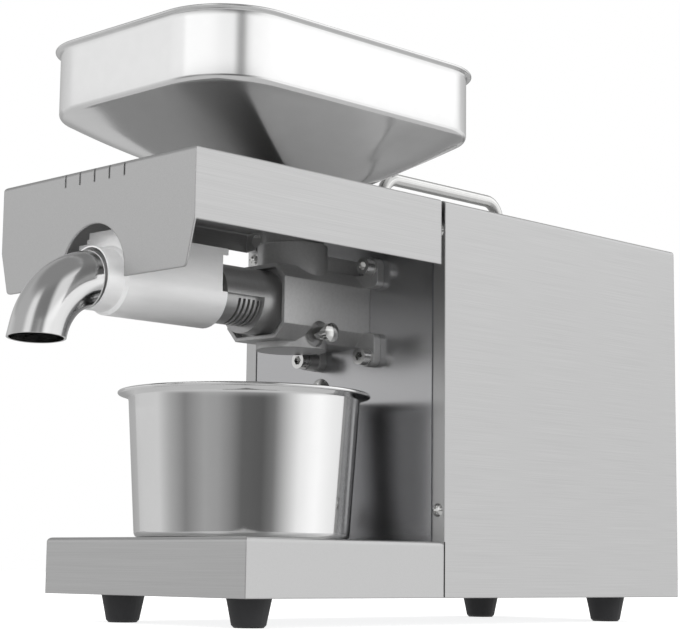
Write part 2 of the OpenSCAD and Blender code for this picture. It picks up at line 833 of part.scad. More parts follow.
module top_cover() color("silver") {
    half = cover_w / 2;
    room_w = cover_w - 2 * sheet_t;
    difference() {
        intersection() {
            along_y(cover_front, cover_l) cover_outline();
            along_x(-half, cover_w) translate([cover_front, cover_low_z])
                round_front(cover_l, cover_top - cover_low_z, bend_r);
        }
        // Space under the top, between the walls
        along_y(cover_front + sheet_t, cover_l - 2 * sheet_t)
            translate([0, cover_low_z - cut])
                round_top(room_w, cover_under - cover_low_z + cut, bend_r - sheet_t);
        // Behind the front panel the walls end above the axis, and the far wall's rear part higher
        translate([-half - cut, cover_front + sheet_t, cover_low_z - cut])
            cube([cover_w + 2 * cut, cover_l, cover_side_z - cover_low_z + cut]);
        translate([-half - cut, cover_front + cover_deep_l, cover_low_z - cut])
            cube([half, cover_l, cover_top - cover_short_h - cover_low_z + cut]);
        // The rear edge is open between and below two folded hooks, each notched for its stud
        translate([hook_w - half, cover_rear - sheet_t - cut, cover_low_z - cut])
            cube([cover_w - 2 * hook_w, sheet_t + 2 * cut, cover_under - cover_low_z + cut]);
        translate([-half - cut, cover_rear - sheet_t - cut, cover_low_z - cut])
            cube([cover_w - sheet_t + cut, sheet_t + 2 * cut, cover_top - cover_short_h - cover_low_z + cut]);
        stud_places() translate([0, 0, -cover_gap - 2 * sheet_t - cut]) {
            cylinder(r = stud_r + slide_gap, h = sheet_t + 2 * cut);
            translate([-stud_r - slide_gap, 0, 0])
                cube([2 * (stud_r + slide_gap), cover_short_h, sheet_t + 2 * cut]);
        }
        // Arch for the spout
        along_y(cover_front - cut, sheet_t + 2 * cut) {
            translate([0, axis_h + arch_lift]) circle(arch_r);
            translate([-arch_r, cover_low_z - cut])
                square([2 * arch_r, axis_h + arch_lift - cover_low_z + cut]);
        }
        for (k = [0 : vent_n - 1])
            translate([(k - (vent_n - 1) / 2) * vent_pitch - vent_w / 2, cover_front - cut,
                cover_top - vent_l])
                cube([vent_w, vent_l + cut, vent_l + cut]);
        translate([0, throat_y, cover_under - cut])
            cylinder(r = pilot_r + slide_gap, h = sheet_t + 2 * cut);
    }
}
module throat_tube() color("gray") {
    translate([0, throat_y, 0]) difference() {
        union() {
            translate([0, 0, throat_top]) cylinder(r = tube_r, h = cover_under - throat_top);
            translate([0, 0, throat_top]) cylinder(r = pilot_r, h = cover_top + pilot_rise - throat_top);
        }
        translate([0, 0, throat_top - cut])
            cylinder(r = throat_bore_r, h = cover_top + pilot_rise - throat_top + 2 * cut);
    }
}
module pan_slab(inset, z, h) {
    translate([0, throat_y - hopper_ahead, z]) linear_extrude(h)
        round_rect(hopper_w - 2 * inset, hopper_l - 2 * inset, hopper_corner_r - inset, $fn = 32);
}
// The funnel's skin: the pan's bend, then straight walls to the neck. t is the depth below the outside
module funnel(t) {
    wall_z = cover_top + funnel_h;
    neck_z = cover_top + pilot_rise;
    mouth_r = neck_r + hopper_rim_w;
    hull() {
        for (a = [0, 30, 60])
            pan_slab(t + (hopper_bend_r - t) * (1 - cos(a)), wall_z - (hopper_bend_r - t) * sin(a),
                funnel_slab_t);
        translate([0, throat_y, neck_z + t]) cylinder(r = mouth_r - t, h = funnel_slab_t, $fn = 32);
    }
}
module hopper() color("gainsboro") {
    wall_z = cover_top + funnel_h;
    rim_z = wall_z + hopper_wall_h;
    neck_z = cover_top + pilot_rise;
    difference() {
        union() {
            pan_slab(0, wall_z, hopper_wall_h);
            pan_slab(-hopper_rim_w, rim_z - hopper_rim_t, hopper_rim_t);
            funnel(0);
        }
        pan_slab(hopper_t, wall_z - funnel_slab_t / 2, hopper_wall_h + cut);
        funnel(hopper_t);
        translate([0, throat_y, neck_z - cut]) cylinder(r = neck_r - hopper_t, h = funnel_h / 2);
    }
    translate([0, throat_y, neck_z - neck_l]) difference() {
        cylinder(r = neck_r, h = neck_l + hopper_t / 2);
        translate([0, 0, -cut]) cylinder(r = neck_r - hopper_t, h = neck_l + 2 * cut);
    }
}
// Half outline of the bowl's outside, inset by t
function bowl_profile(t) = concat(
    [[0, t]],
    [for (a = [0 : 15 : 75])
        [bowl_foot_r - bowl_edge_r + (bowl_edge_r - t) * sin(a), bowl_edge_r - (bowl_edge_r - t) * cos(a)]],
    [[bowl_foot_r - t, bowl_edge_r], [bowl_top_r - t, bowl_h - bowl_rim_fall]]);
module oil_bowl() color("gainsboro") {
    translate([bowl_off, body_front - bowl_gap - bowl_rim_r, base_top]) {
        rotate_extrude() polygon(concat(
            bowl_profile(0),
            [[bowl_rim_r - bowl_bead_r, bowl_h - 2 * bowl_bead_r]],
            [[bowl_rim_r - bowl_bead_r, bowl_h - 2 * bowl_bead_r + bowl_t]],
            [for (k = [len(bowl_profile(bowl_t)) - 1 : -1 : 0])
                bowl_profile(bowl_t)[k] + (k == len(bowl_profile(bowl_t)) - 1 ? [0, bowl_t] : [0, 0])]));
        rotate_extrude() translate([bowl_rim_r - bowl_bead_r, bowl_h - bowl_bead_r])
            circle(bowl_bead_r, $fn = 24);
    }
}

// Feed block
module octagon(inset) {
    w = block_half_w - inset;
    h = block_half_h - inset;
    side = block_side_half - inset * tan(octagon_half_turn);
    top = block_top_half - inset * tan(octagon_half_turn);
    polygon([[w, -side], [w, side], [top, h], [-top, h], [-w, side], [-w, -side], [-top, -h], [top, -h]]);
}
// Plate of one ear, from behind the block to round its screw
module lug(i, j) {
    x = abs(ear_spot(i, j)[0]);
    z = abs(ear_spot(i, j)[1] - axis_h);
    foot = block_side_half;
    scale([i, j]) {
        translate([x, z]) circle(ear_r);
        translate([x - ear_r, foot + ear_corner_r]) square([2 * ear_r, z - foot - ear_corner_r]);
        translate([0, foot]) square([x + ear_r - ear_corner_r, 2 * ear_corner_r]);
        translate([x + ear_r - ear_corner_r, foot + ear_corner_r]) circle(ear_corner_r);
    }
}
module feed_block() color("dimgray") {
    flange_y = body_front - flange_t;
    difference() {
        union() {
            along_y(block_front, block_l) translate([0, axis_h]) octagon(0);
            translate([0, throat_y, axis_h - throat_drop])
                cylinder(r = throat_r, h = throat_drop + throat_rise);
            translate([-web_half, throat_y, axis_h])
                cube([2 * web_half, throat_set, web_rise]);
            along_y(flange_y, flange_t) translate([0, axis_h])
                for (i = [-1, 1], j = [-1, 1]) lug(i, j);
        }
        along_y(block_front - cut, block_recess + cut) translate([0, axis_h]) octagon(block_rim);
        bar_y(block_front - cut, cage_root_l + cut, cage_r + shaft_gap);
        bar_y(block_front, block_l + cut, seal_bore_r);
        translate([0, throat_y, axis_h]) cylinder(r = throat_bore_r, h = throat_rise + cut);
        ear_places(flange_y - cut) cylinder(r = m6_hole_r, h = flange_t + 2 * cut);
        translate([-block_half_w - cut, throat_y, axis_h - pin_drop]) rotate([0, 90, 0])
            cylinder(r = pin_r + shaft_gap, h = 2 * (block_half_w + cut));
        translate([pin_recess_in, throat_y, axis_h - pin_drop]) rotate([0, 90, 0])
            cylinder(r = pin_recess_r, h = block_half_w);
    }
}
module locking_pin() color("gainsboro") {
    translate([-pin_tail, throat_y, axis_h - pin_drop]) rotate([0, 90, 0]) {
        cylinder(r = pin_r, h = pin_tail + pin_out);
        translate([0, 0, pin_tail + pin_out]) rotate_extrude() intersection() {
            square([pin_head_r, pin_head_l]);
            translate([0, pin_head_l - 2 * pin_head_r]) circle(2 * pin_head_r);
        }
    }
}
// Socket head screw along +Z, its seat on the plane, with the shank below
module socket_screw(grip) {
    difference() {
        cylinder(r = m6_head_r, h = m6_head_h);
        translate([0, 0, m6_head_h - m6_hex_deep])
            cylinder(r = m6_hex_af / sqrt(3), h = m6_hex_deep + cut, $fn = 6);
    }
    translate([0, 0, -grip]) cylinder(r = m6_r, h = grip);
}
// Stack under each ear's screw: the lower far screw has a thick spacer under its washer
function ear_stack(i, j) = washer_t + (i < 0 && j < 0 ? far_spacer_t : 0);
module block_washers() color("darkgray") {
    flange_y = body_front - flange_t;
    for (i = [-1, 1], j = [-1, 1])
        ring_y(flange_y - ear_stack(i, j), ear_stack(i, j), washer_r, m6_hole_r, ear_spot(i, j));
}
module block_screws() color("gainsboro") {
    flange_y = body_front - flange_t;
    for (i = [-1, 1], j = [-1, 1]) {
        translate([ear_spot(i, j)[0], flange_y - ear_stack(i, j), ear_spot(i, j)[1]]) rotate([90, 0, 0])
            socket_screw(ear_stack(i, j) + flange_t + sheet_t + bulkhead_t);
    }
}

// Press cage and screw
module press_cage() color("gray") {
    root_back = block_front + cage_root_l;
    difference() {
        union() {
            bar_y(nozzle_y, nose_l, cage_low_r);
            bar_y(sleeve_rear, root_back - sleeve_rear, cage_r);
        }
        // Underside milled back to the slotted wall
        difference() {
            translate([-cage_r - cut, sleeve_rear - cut, axis_h - cage_r - cut])
                cube([2 * (cage_r + cut), cage_mill_l + cut, cage_r + cut]);
            bar_y(sleeve_rear - 2 * cut, cage_mill_l + 3 * cut, cage_low_r);
        }
        bar_y(nozzle_y - cut, nose_l + root_back - sleeve_rear + 2 * cut, screw_bore_r);
        // Oil slots sawn across the lower half
        for (k = [0 : slot_n - 1])
            translate([-cage_r, sleeve_rear + cage_mill_l - slot_set - k * slot_pitch, axis_h - cage_r])
                cube([2 * cage_r, slot_w, cage_r - slot_top_drop]);
        // Feed window under the throat, and the groove for the locking pin
        translate([0, throat_y, axis_h]) cylinder(r = neck_r - hopper_t, h = cage_r + cut);
        translate([-cage_r - cut, throat_y, axis_h - pin_drop]) rotate([0, 90, 0])
            cylinder(r = pin_r + shaft_gap, h = 2 * (cage_r + cut));
    }
}
// Points and faces of the flight: a trapezium swept along a helix whose pitch falls towards the tip
flight_steps = 24;
flight_n = flight_turns * flight_steps;
flight_l = nose_l + cage_bare_l + cage_root_l;
pitch_fall = (1 - pitch_ratio_share) / (1 + pitch_ratio_share);
function flight_place(t) = flight_l * (t * (1 + pitch_fall) - pitch_fall * t * t);
function flight_point(i, r, w) = [r * cos(i * 360 / flight_steps), r * sin(i * 360 / flight_steps),
    flight_place(i / flight_n) + w];
module flight() {
    inner = core_feed_r - flight_sink;
    points = [for (i = [0 : flight_n]) each [
        flight_point(i, inner, -flight_root_half), flight_point(i, flight_r, -flight_tip_half),
        flight_point(i, flight_r, flight_tip_half), flight_point(i, inner, flight_root_half)]];
    sides = [for (i = [0 : flight_n - 1], k = [0 : 3]) each [
        [4 * i + k, 4 * i + (k + 1) % 4, 4 * i + 4 + k],
        [4 * i + (k + 1) % 4, 4 * i + 4 + (k + 1) % 4, 4 * i + 4 + k]]];
    last = 4 * flight_n;
    polyhedron(points, concat([[0, 2, 1], [0, 3, 2]], sides,
        [[last, last + 1, last + 2], [last, last + 2, last + 3]]));
}
module press_screw() color("lightslategray") {
    root_back = block_front + cage_root_l;
    feed_y = root_back - flight_root_half;
    translate([0, feed_y, axis_h]) rotate([90, 0, 0]) intersection() {
        flight();
        cylinder(r = flight_r + cut, h = feed_y - nozzle_y);
    }
    cone_y(nozzle_y, feed_y - nozzle_y, core_end_r, core_feed_r);
    cone_y(nozzle_y - screw_tip_l, screw_tip_l, screw_tip_r, core_end_r);
    bar_y(feed_y, tail_neck_l, tail_neck_r);
    hex_y(feed_y + tail_neck_l, tail_l, tail_af);
}
module cake_nozzle() color("darkgray") {
    difference() {
        bar_y(nozzle_y - nozzle_l, nozzle_l + nozzle_lap, nozzle_r);
        cone_y(nozzle_y - nozzle_l - cut, nozzle_l + cut, nozzle_lip_r, screw_bore_r);
        bar_y(nozzle_y, nozzle_lap + cut, cage_low_r);
    }
}
module band_heater() color("goldenrod") {
    heater_y = nozzle_y + nozzle_lap + heater_gap;
    heater_r = cage_low_r + heater_t;
    difference() {
        union() {
            ring_y(heater_y, heater_l, heater_r, cage_low_r);
            for (i = [-1, 1])
                translate([i * (heater_split + heater_lug_t) / 2 - heater_lug_t / 2, heater_y,
                    axis_h + cage_low_r + heater_gap])
                    cube([heater_lug_t, heater_l, heater_lug_h]);
        }
        translate([-heater_split / 2, heater_y - cut, axis_h])
            cube([heater_split, heater_l + 2 * cut, 2 * cage_r]);
    }
}
// Upper or lower half of the space about the press axis
module half_space(up) {
    side = 3 * cage_r;
    translate([-side, collar_front - cut, up ? axis_h : axis_h - side])
        cube([2 * side, collar_l + sleeve_l + 2 * cut, side]);
}
module collar() {
    flare = (collar_mouth_r - collar_bore_r) / spout_seat;
    difference() {
        union() {
            bar_y(collar_front, collar_l, collar_r);
            cone_y(sleeve_front - sleeve_wall, sleeve_wall, collar_r, sleeve_r);
        }
        bar_y(collar_front - cut, collar_l + 2 * cut, collar_bore_r);
        cone_y(collar_front - cut, spout_seat + cut, collar_mouth_r + flare * cut, collar_bore_r);
    }
}
module residue_trough() color("gainsboro") {
    intersection() {
        union() {
            collar();
            ring_y(sleeve_front, sleeve_l, sleeve_r, sleeve_r - sleeve_wall);
            ring_y(sleeve_front, sleeve_wall, sleeve_r, collar_bore_r);
        }
        half_space(false);
    }
}
module heater_hood() color("gainsboro") {
    hood_l = sleeve_l - hood_rear_short;
    inner = sleeve_r - sleeve_wall;
    intersection() {
        collar();
        half_space(true);
    }
    difference() {
        translate([-sleeve_r, sleeve_front, axis_h]) cube([2 * sleeve_r, hood_l, hood_rise]);
        translate([-inner, sleeve_front - cut, axis_h - cut])
            cube([2 * inner, hood_l + 2 * cut, hood_rise - sleeve_wall + cut]);
    }
    difference() {
        along_y(sleeve_front, sleeve_wall) {
            translate([-sleeve_r - hood_wing, axis_h + hood_plate_inset])
                square([2 * sleeve_r + hood_wing, hood_step_rise - hood_plate_inset]);
            translate([-sleeve_r + hood_plate_inset, axis_h])
                square([2 * sleeve_r - hood_plate_inset, hood_front_rise]);
        }
        bar_y(sleeve_front - cut, sleeve_wall + 2 * cut, collar_bore_r);
    }
    translate([sleeve_r - sleeve_wall, sleeve_front + hood_l - cut, axis_h + hood_rise - hood_tab_h])
        cube([sleeve_wall, hood_tab_l + cut, hood_tab_h]);
}
// The spout's tube grown or shrunk to a radius: a straight lead and the bend
module spout_solid(r, over, over_turn) {
    reach = collar_l + sleeve_wall - spout_seat - seat_gap;
    rotate([-90, 0, 0]) cylinder(r = r, h = reach + over);
    translate([0, 0, -spout_bend_r]) rotate([90, 0, 90]) rotate([0, 0, 90])
        rotate_extrude(angle = spout_turn + over_turn) translate([spout_bend_r, 0]) circle(r);
}
module residue_spout() color("silver") {
    translate([0, bend_y, axis_h]) difference() {
        spout_solid(spout_r, 0, 0);
        spout_solid(spout_r - spout_t, cut, spout_mouth_over);
    }
}

// Handle
module carrying_handle() color("silver") {
    top = handle_h - rod_r;
    leg = handle_h - rod_r - handle_bend_r + sheet_t + handle_thread;
    translate([0, body_front + handle_set, body_top]) {
        for (i = [0, 1]) translate([0, i * handle_span, 0]) {
            translate([0, 0, top - handle_bend_r - leg]) cylinder(r = rod_r, h = leg);
            translate([0, (1 - 2 * i) * handle_bend_r, top - handle_bend_r]) rotate([90, 0, 90])
                rotate([0, 0, 90 * (1 - i)]) rotate_extrude(angle = 90)
                    translate([handle_bend_r, 0]) circle(rod_r);
            cylinder(r = rod_r + handle_collar_w, h = handle_collar_h);
        }
        translate([0, handle_bend_r, top]) rotate([-90, 0, 0])
            cylinder(r = rod_r, h = handle_span - 2 * handle_bend_r);
    }
}
module handle_nuts() color("darkgray") {
    handle_places() translate([0, 0, body_top - sheet_t - handle_nut_h]) difference() {
        cylinder(r = handle_nut_af / sqrt(3), h = handle_nut_h, $fn = 6);
        translate([0, 0, -cut]) cylinder(r = rod_r, h = handle_nut_h + 2 * cut);
    }
}

// Drive shaft and its bearings
tail_y = block_front + cage_root_l - flight_root_half + tail_neck_l;
drive_front = tail_y + key_room;
thrust_y = case_front - thrust_t;
module drive_shaft() color("lightslategray") {
    difference() {
        union() {
            bar_y(drive_front, thrust_y - drive_front, drive_r);
            bar_y(thrust_y, layer2_y - thrust_y, journal_r);
            bar_y(layer2_y, rear_bearing_y + rear_bearing_w - slide_gap - layer2_y, rear_journal_r);
        }
        hex_y(drive_front - cut, drive_hex_deep + cut, tail_af + 2 * shaft_gap);
    }
}
module shaft_seal() color("black") {
    ring_y(drive_front + key_room, seal_l, seal_bore_r, drive_r + shaft_gap);
}
module thrust_bearing() color("silver") {
    ball_c = (journal_r + thrust_r) / 2;
    for (y = [thrust_y, thrust_y + thrust_t - thrust_washer_t])
        ring_y(y, thrust_washer_t, thrust_r, journal_r + shaft_gap);
    for (k = [0 : thrust_ball_n - 1]) rotate_about_output(k * 360 / thrust_ball_n)
        translate([ball_c, thrust_y + thrust_t / 2, axis_h]) sphere(thrust_ball_r);
}
module rotate_about_output(a) {
    translate([0, 0, axis_h]) rotate([0, a, 0]) translate([0, 0, -axis_h]) children();
}
// A ball bearing along Y: outer ring, inner ring and balls between them
module ball_bearing(y, w, r_out, r_bore, c) {
    race = (r_out - r_bore) / 4;
    ball_r = race * ball_share;
    middle = (r_out + r_bore) / 2;
    ring_y(y, w, r_out, r_out - race, c);
    ring_y(y, w, r_bore + race, r_bore + shaft_gap, c);
    for (k = [0 : bearing_ball_n - 1]) translate([c[0], y + w / 2, c[1]])
        rotate([0, k * 360 / bearing_ball_n, 0]) translate([middle, 0, 0]) sphere(ball_r);
}
module shaft_bearings() color("silver") {
    ball_bearing(case_front + bearing_face, bearing_w, bearing_r, journal_r, output_c);
    ball_bearing(rear_bearing_y, rear_bearing_w, rear_bearing_r, rear_journal_r, output_c);
}

// Gears: involute teeth, with a tooth centred on the +X axis before the turn
function involute(a) = tan(a) * 180 / PI - a;
function tooth_half(teeth, mod, r) =
    let (pitch_r = teeth * mod / 2, base_r = pitch_r * cos(pressure_turn), a = acos(min(1, base_r / r)))
    90 / teeth + involute(pressure_turn) - involute(a) - gear_backlash * mod / pitch_r * 180 / PI;
module gear_outline(teeth, mod) {
    pitch_r = teeth * mod / 2;
    root_r = pitch_r - root_depth_share * mod;
    tip_r = pitch_r + mod;
    low_r = max(root_r, pitch_r * cos(pressure_turn));
    radii = [for (k = [0 : 3]) low_r + (tip_r - low_r) * k / 3];
    // Radius and angle of one tooth's points, from one root over the tip to the other
    flank = [for (r = radii) [r, tooth_half(teeth, mod, r)]];
    tooth = concat([[root_r, -flank[0][1]]], [for (p = flank) [p[0], -p[1]]],
        [for (k = [3 : -1 : 0]) flank[k]], [[root_r, flank[0][1]]]);
    polygon([for (i = [0 : teeth - 1], p = tooth)
        p[0] * [cos(p[1] + i * 360 / teeth), sin(p[1] + i * 360 / teeth)]]);
}
module gear(y, w, teeth, mod, c, turn) {
    translate([c[0], 0, c[1]]) along_y(y, w) rotate(turn) gear_outline(teeth, mod);
}
// Direction from one centre to another, and the turn that puts a gap opposite a tooth there
function heading(a, b) = atan2(b[1] - a[1], b[0] - a[0]);
function meshed(a, b) = heading(a, b) + 180 + 180 / wheel_teeth;
module motor_pinion() color("goldenrod") {
    difference() {
        gear(layer1_y, gear_w, pinion_teeth, fine_module, motor_c, heading(motor_c, idler1_c));
        bar_y(layer1_y - cut, gear_w + 2 * cut, motor_shaft_r, motor_c);
    }
}
// A wheel and the pinion in front of it on one hub, bored for its pin
module idler(c, wheel_y, wheel_turn, pinion_y, pinion_w, pinion_mod, pinion_turn) {
    difference() {
        union() {
            gear(wheel_y, gear_w, wheel_teeth, fine_module, c, wheel_turn);
            gear(pinion_y, pinion_w, pinion_teeth, pinion_mod, c, pinion_turn);
            bar_y(pinion_y, wheel_y + gear_w - pinion_y, idler_hub_r, c);
        }
        bar_y(pinion_y - cut, wheel_y + gear_w - pinion_y + 2 * cut, idler_pin_r + shaft_gap, c);
    }
}
module first_idler_gear() color("darkkhaki") {
    idler(idler1_c, layer1_y, meshed(motor_c, idler1_c), layer2_y, gear_w, fine_module,
        heading(idler1_c, idler2_c));
}
module second_idler_gear() color("khaki") {
    idler(idler2_c, layer2_y, meshed(idler1_c, idler2_c), layer3_y, last_gear_w, coarse_module,
        heading(idler2_c, output_c));
}
module output_gear() color("peru") {
    difference() {
        gear(layer3_y, last_gear_w, wheel_teeth, coarse_module, output_c, meshed(idler2_c, output_c));
        bar_y(layer3_y - cut, last_gear_w + 2 * cut, journal_r);
    }
}
module idler_pins() color("gainsboro") {
    pin_l = cover_y - case_front - 2 * seat_gap;
    for (c = [idler1_c, idler2_c]) bar_y(case_front + case_t / 2 + seat_gap, pin_l, idler_pin_r, c);
}
case_w = case_x1 - case_x0;
case_h = case_z1 - case_z0;
case_mid = [(case_x0 + case_x1) / 2, (case_z0 + case_z1) / 2];
module case_screw_places(y) {
    half_w = case_w / 2 - case_screw_in;
    half_h = case_h / 2 - case_screw_in;
    for (i = [-1, 1], j = [-1, 1])
        translate([case_mid[0] + i * half_w, y, case_mid[1] + j * half_h]) rotate([-90, 0, 0]) children();
}
module gearbox_case() color("darkgray") {
    depth = cover_y - case_front;
    difference() {
        union() {
            difference() {
                along_y(case_front, depth) translate(case_mid) round_rect(case_w, case_h, case_round);
                along_y(case_front + case_t, depth) translate(case_mid)
                    round_rect(case_w - 2 * case_t, case_h - 2 * case_t, case_round - case_t);
            }
            bar_y(case_front, bearing_face + bearing_w, bearing_r + boss_wall);
            case_screw_places(case_front) cylinder(r = case_screw_boss_r, h = depth);
        }
        bar_y(case_front + bearing_face, depth, bearing_r);
        bar_y(case_front - cut, bearing_face + 2 * cut, thrust_r - thrust_washer_t);
        for (c = [idler1_c, idler2_c]) bar_y(case_front + case_t / 2, case_t, idler_pin_r, c);
        case_screw_places(case_front - cut) cylinder(r = case_screw_r + shaft_gap, h = depth + 2 * cut);
    }
}
module gearbox_cover() color("darkgray") {
    difference() {
        union() {
            along_y(cover_y, case_t) translate(case_mid) round_rect(case_w, case_h, case_round);
            bar_y(rear_bearing_y, cover_boss_l + cut, rear_bearing_r + boss_wall);
        }
        bar_y(rear_bearing_y - cut, rear_bearing_w + cut, rear_bearing_r);
        for (c = [idler1_c, idler2_c]) bar_y(cover_y - cut, case_t / 2 + cut, idler_pin_r, c);
        bar_y(cover_y - cut, case_t + 2 * cut, motor_shaft_r + seat_gap, motor_c);
        case_screw_places(cover_y - cut) cylinder(r = case_screw_r + shaft_gap, h = case_t + 2 * cut);
    }
}
module gearbox_screws() color("gainsboro") {
    grip = cover_y + case_t - body_front - sheet_t;
    case_screw_places(body_front + sheet_t) {
        cylinder(r = case_screw_r, h = grip);
        translate([0, 0, grip]) cylinder(r = case_screw_head_r, h = case_screw_head_h);
    }
}

// Motor
module motor_can() color("lightsteelblue") {
    difference() {
        bar_y(motor_front, motor_l, motor_r, motor_c);
        bar_y(motor_front + bell_t, motor_l, motor_r - can_wall, motor_c);
        bar_y(motor_front - cut, motor_bearing_w + cut, motor_bearing_r, motor_c);
    }
}
module motor_end_bell() color("darkgray") {
    translate([0, motor_back, motor_z]) rotate([-90, 0, 0]) difference() {
        rotate_extrude() {
            square([motor_r - bell_round, motor_bearing_w + bell_t / 2]);
            square([motor_r, bell_t / 2]);
            translate([motor_r - bell_round, bell_t / 2]) intersection() {
                circle(bell_round);
                square([bell_round, motor_bearing_w]);
            }
        }
        translate([0, 0, -cut]) cylinder(r = motor_bearing_r, h = motor_bearing_w + cut);
        cylinder(r = motor_shaft_r + seat_gap, h = motor_bearing_w + bell_t);
    }
}
module stator_core() color("slategray") {
    r_in = rotor_r + air_gap;
    r_out = motor_r - can_wall;
    along_y(stator_y, stator_l) translate(motor_c) {
        difference() {
            circle(r_out);
            circle(r_out - stator_yoke);
        }
        difference() {
            union() {
                for (k = [0 : stator_teeth - 1]) rotate(k * 360 / stator_teeth)
                    translate([0, -stator_tooth_w / 2]) square([r_out - stator_yoke / 2, stator_tooth_w]);
                circle(r_in + stator_tip_t);
            }
            circle(r_in);
        }
    }
}
module stator_windings() color("chocolate") {
    for (y = [stator_y - end_turn_r, stator_y + stator_l + end_turn_r])
        translate([0, y, motor_z]) rotate([90, 0, 0])
            rotate_extrude() translate([end_turn_centre, 0]) circle(end_turn_r);
}
module rotor_core() color("slategray") {
    ring_y(stator_y, rotor_l, rotor_r, motor_shaft_r, motor_c);
}
fan_y = motor_back + motor_bearing_w + bell_t / 2 + fan_gap;
module motor_shaft() color("gainsboro") {
    bar_y(layer1_y, fan_y + fan_w + shaft_end_l - layer1_y, motor_shaft_r, motor_c);
}
module motor_fan() color("ivory") {
    difference() {
        union() {
            bar_y(fan_y, fan_w, fan_hub_r, motor_c);
            for (k = [0 : fan_blades - 1]) translate([0, fan_y, motor_z]) rotate([0, k * 360 / fan_blades, 0])
                translate([fan_hub_r - fan_blade_t, fan_blade_t / 2, -fan_blade_t / 2])
                    cube([fan_r - fan_hub_r, fan_w - fan_blade_t, fan_blade_t]);
            bar_y(fan_y, fan_blade_t, fan_r, motor_c);
        }
        bar_y(fan_y - cut, fan_w + 2 * cut, motor_shaft_r, motor_c);
    }
}
module motor_bearings() color("silver") {
    ball_bearing(motor_front, motor_bearing_w, motor_bearing_r, motor_shaft_r, motor_c);
    ball_bearing(motor_back, motor_bearing_w, motor_bearing_r, motor_shaft_r, motor_c);
}
module motor_cradle() color("slategray") {
    y0 = motor_front + cradle_set;
    for (y = [y0, y0 + cradle_l - cradle_t]) along_y(y, cradle_t) difference() {
        translate([-cradle_half, floor_z]) square([2 * cradle_half, motor_z - motor_r / 2 - floor_z]);
        translate(motor_c) circle(motor_r);
    }
    translate([-cradle_half, y0, floor_z]) cube([2 * cradle_half, cradle_l, cradle_foot_t]);
}
cap_y = motor_front + cradle_set + cradle_l + cap_gap;
cap_z = floor_z + cap_r;
module run_capacitor() color("whitesmoke") {
    bar_y(cap_y, cap_l, cap_r, [cap_x, cap_z]);
    for (i = [-1, 1]) bar_y(cap_y + cap_l, cap_post_h, cap_post_r, [cap_x + i * cap_r / 2, cap_z]);
}
module capacitor_clip() color("silver") {
    along_y(cap_y + (cap_l - clip_l) / 2, clip_l) difference() {
        union() {
            translate([cap_x, cap_z]) circle(cap_r + clip_t);
            translate([cap_x - cap_r - clip_t, floor_z]) square([2 * (cap_r + clip_t), cap_r]);
            translate([cap_x - cap_r - clip_foot, floor_z]) square([2 * (cap_r + clip_foot), clip_t]);
        }
        translate([cap_x, cap_z]) circle(cap_r);
        translate([cap_x - cap_r, floor_z - cut]) square([2 * cap_r, cap_r + cut]);
        translate([cap_x - 2 * cap_r, floor_z - cap_r]) square([4 * cap_r, cap_r]);
    }
}

// Rear panel's inlet and switches
module power_inlet() color("dimgray") {
    translate([inlet_x, body_back, inlet_z]) {
        difference() {
            union() {
                along_y(0, inlet_lip) round_rect(inlet_w + 2 * inlet_ear, inlet_h, inlet_round);
                translate([-inlet_body_w / 2, -inlet_deep, -inlet_body_h / 2])
                    cube([inlet_body_w, inlet_deep, inlet_body_h]);
            }
            along_y(inlet_lip - inlet_socket_deep, inlet_socket_deep + cut)
                round_rect(inlet_socket_w, inlet_socket_h, inlet_round / 2);
        }
        for (p = [[-1, -1], [0, 1], [1, -1]])
            translate([p[0] * inlet_blade_gap - inlet_blade_t / 2, inlet_lip - inlet_socket_deep - seat_gap,
                p[1] * inlet_blade_t - inlet_blade_w / 2])
                cube([inlet_blade_t, inlet_blade_l, inlet_blade_w]);
    }
}
module rocker_switch() {
    difference() {
        union() {
            along_y(0, switch_face) round_rect(switch_w, switch_h, inlet_round / 2);
            translate([-switch_body_w / 2, -switch_deep, -switch_body_h / 2])
                cube([switch_body_w, switch_deep, switch_body_h]);
        }
        translate([-rocker_w / 2 - rocker_gap, switch_face - switch_well, -rocker_h / 2 - rocker_gap])
            cube([rocker_w + 2 * rocker_gap, switch_well + cut, rocker_h + 2 * rocker_gap]);
        translate([-rocker_w / 2 - rocker_axle_in, -rocker_axle_deep, 0]) rotate([0, 90, 0])
            cylinder(r = rocker_axle_r + shaft_gap, h = rocker_w + 2 * rocker_axle_in);
    }
}
module rocker() {
    bow = rocker_h * rocker_h / (8 * rocker_rise);
    intersection() {
        translate([-rocker_w / 2, -rocker_deep, -rocker_h / 2])
            cube([rocker_w, 2 * rocker_deep + rocker_rise, rocker_h]);
        translate([-rocker_w / 2, switch_face + rocker_rise - bow, 0]) rotate([0, 90, 0])
            cylinder(r = bow, h = rocker_w, $fn = 128);
    }
    translate([-rocker_w / 2 - rocker_axle_in + seat_gap, -rocker_axle_deep, 0]) rotate([0, 90, 0])
        cylinder(r = rocker_axle_r, h = rocker_w + 2 * (rocker_axle_in - seat_gap));
}
module switch_place(k) {
    translate([switch_x, body_back, inlet_z + k * switch_gap]) children();
}
module motor_switch() color("dimgray") switch_place(1) rocker_switch();
module motor_rocker() color("black") switch_place(1) rocker();
module heater_switch() color("dimgray") switch_place(0) rocker_switch();
// The heater's rocker rests at off, with its lower end pressed in
module heater_rocker() color("firebrick") switch_place(0)
    translate([0, -rocker_axle_deep, 0]) rotate([-rocker_tilt, 0, 0])
        translate([0, rocker_axle_deep, 0]) rocker();

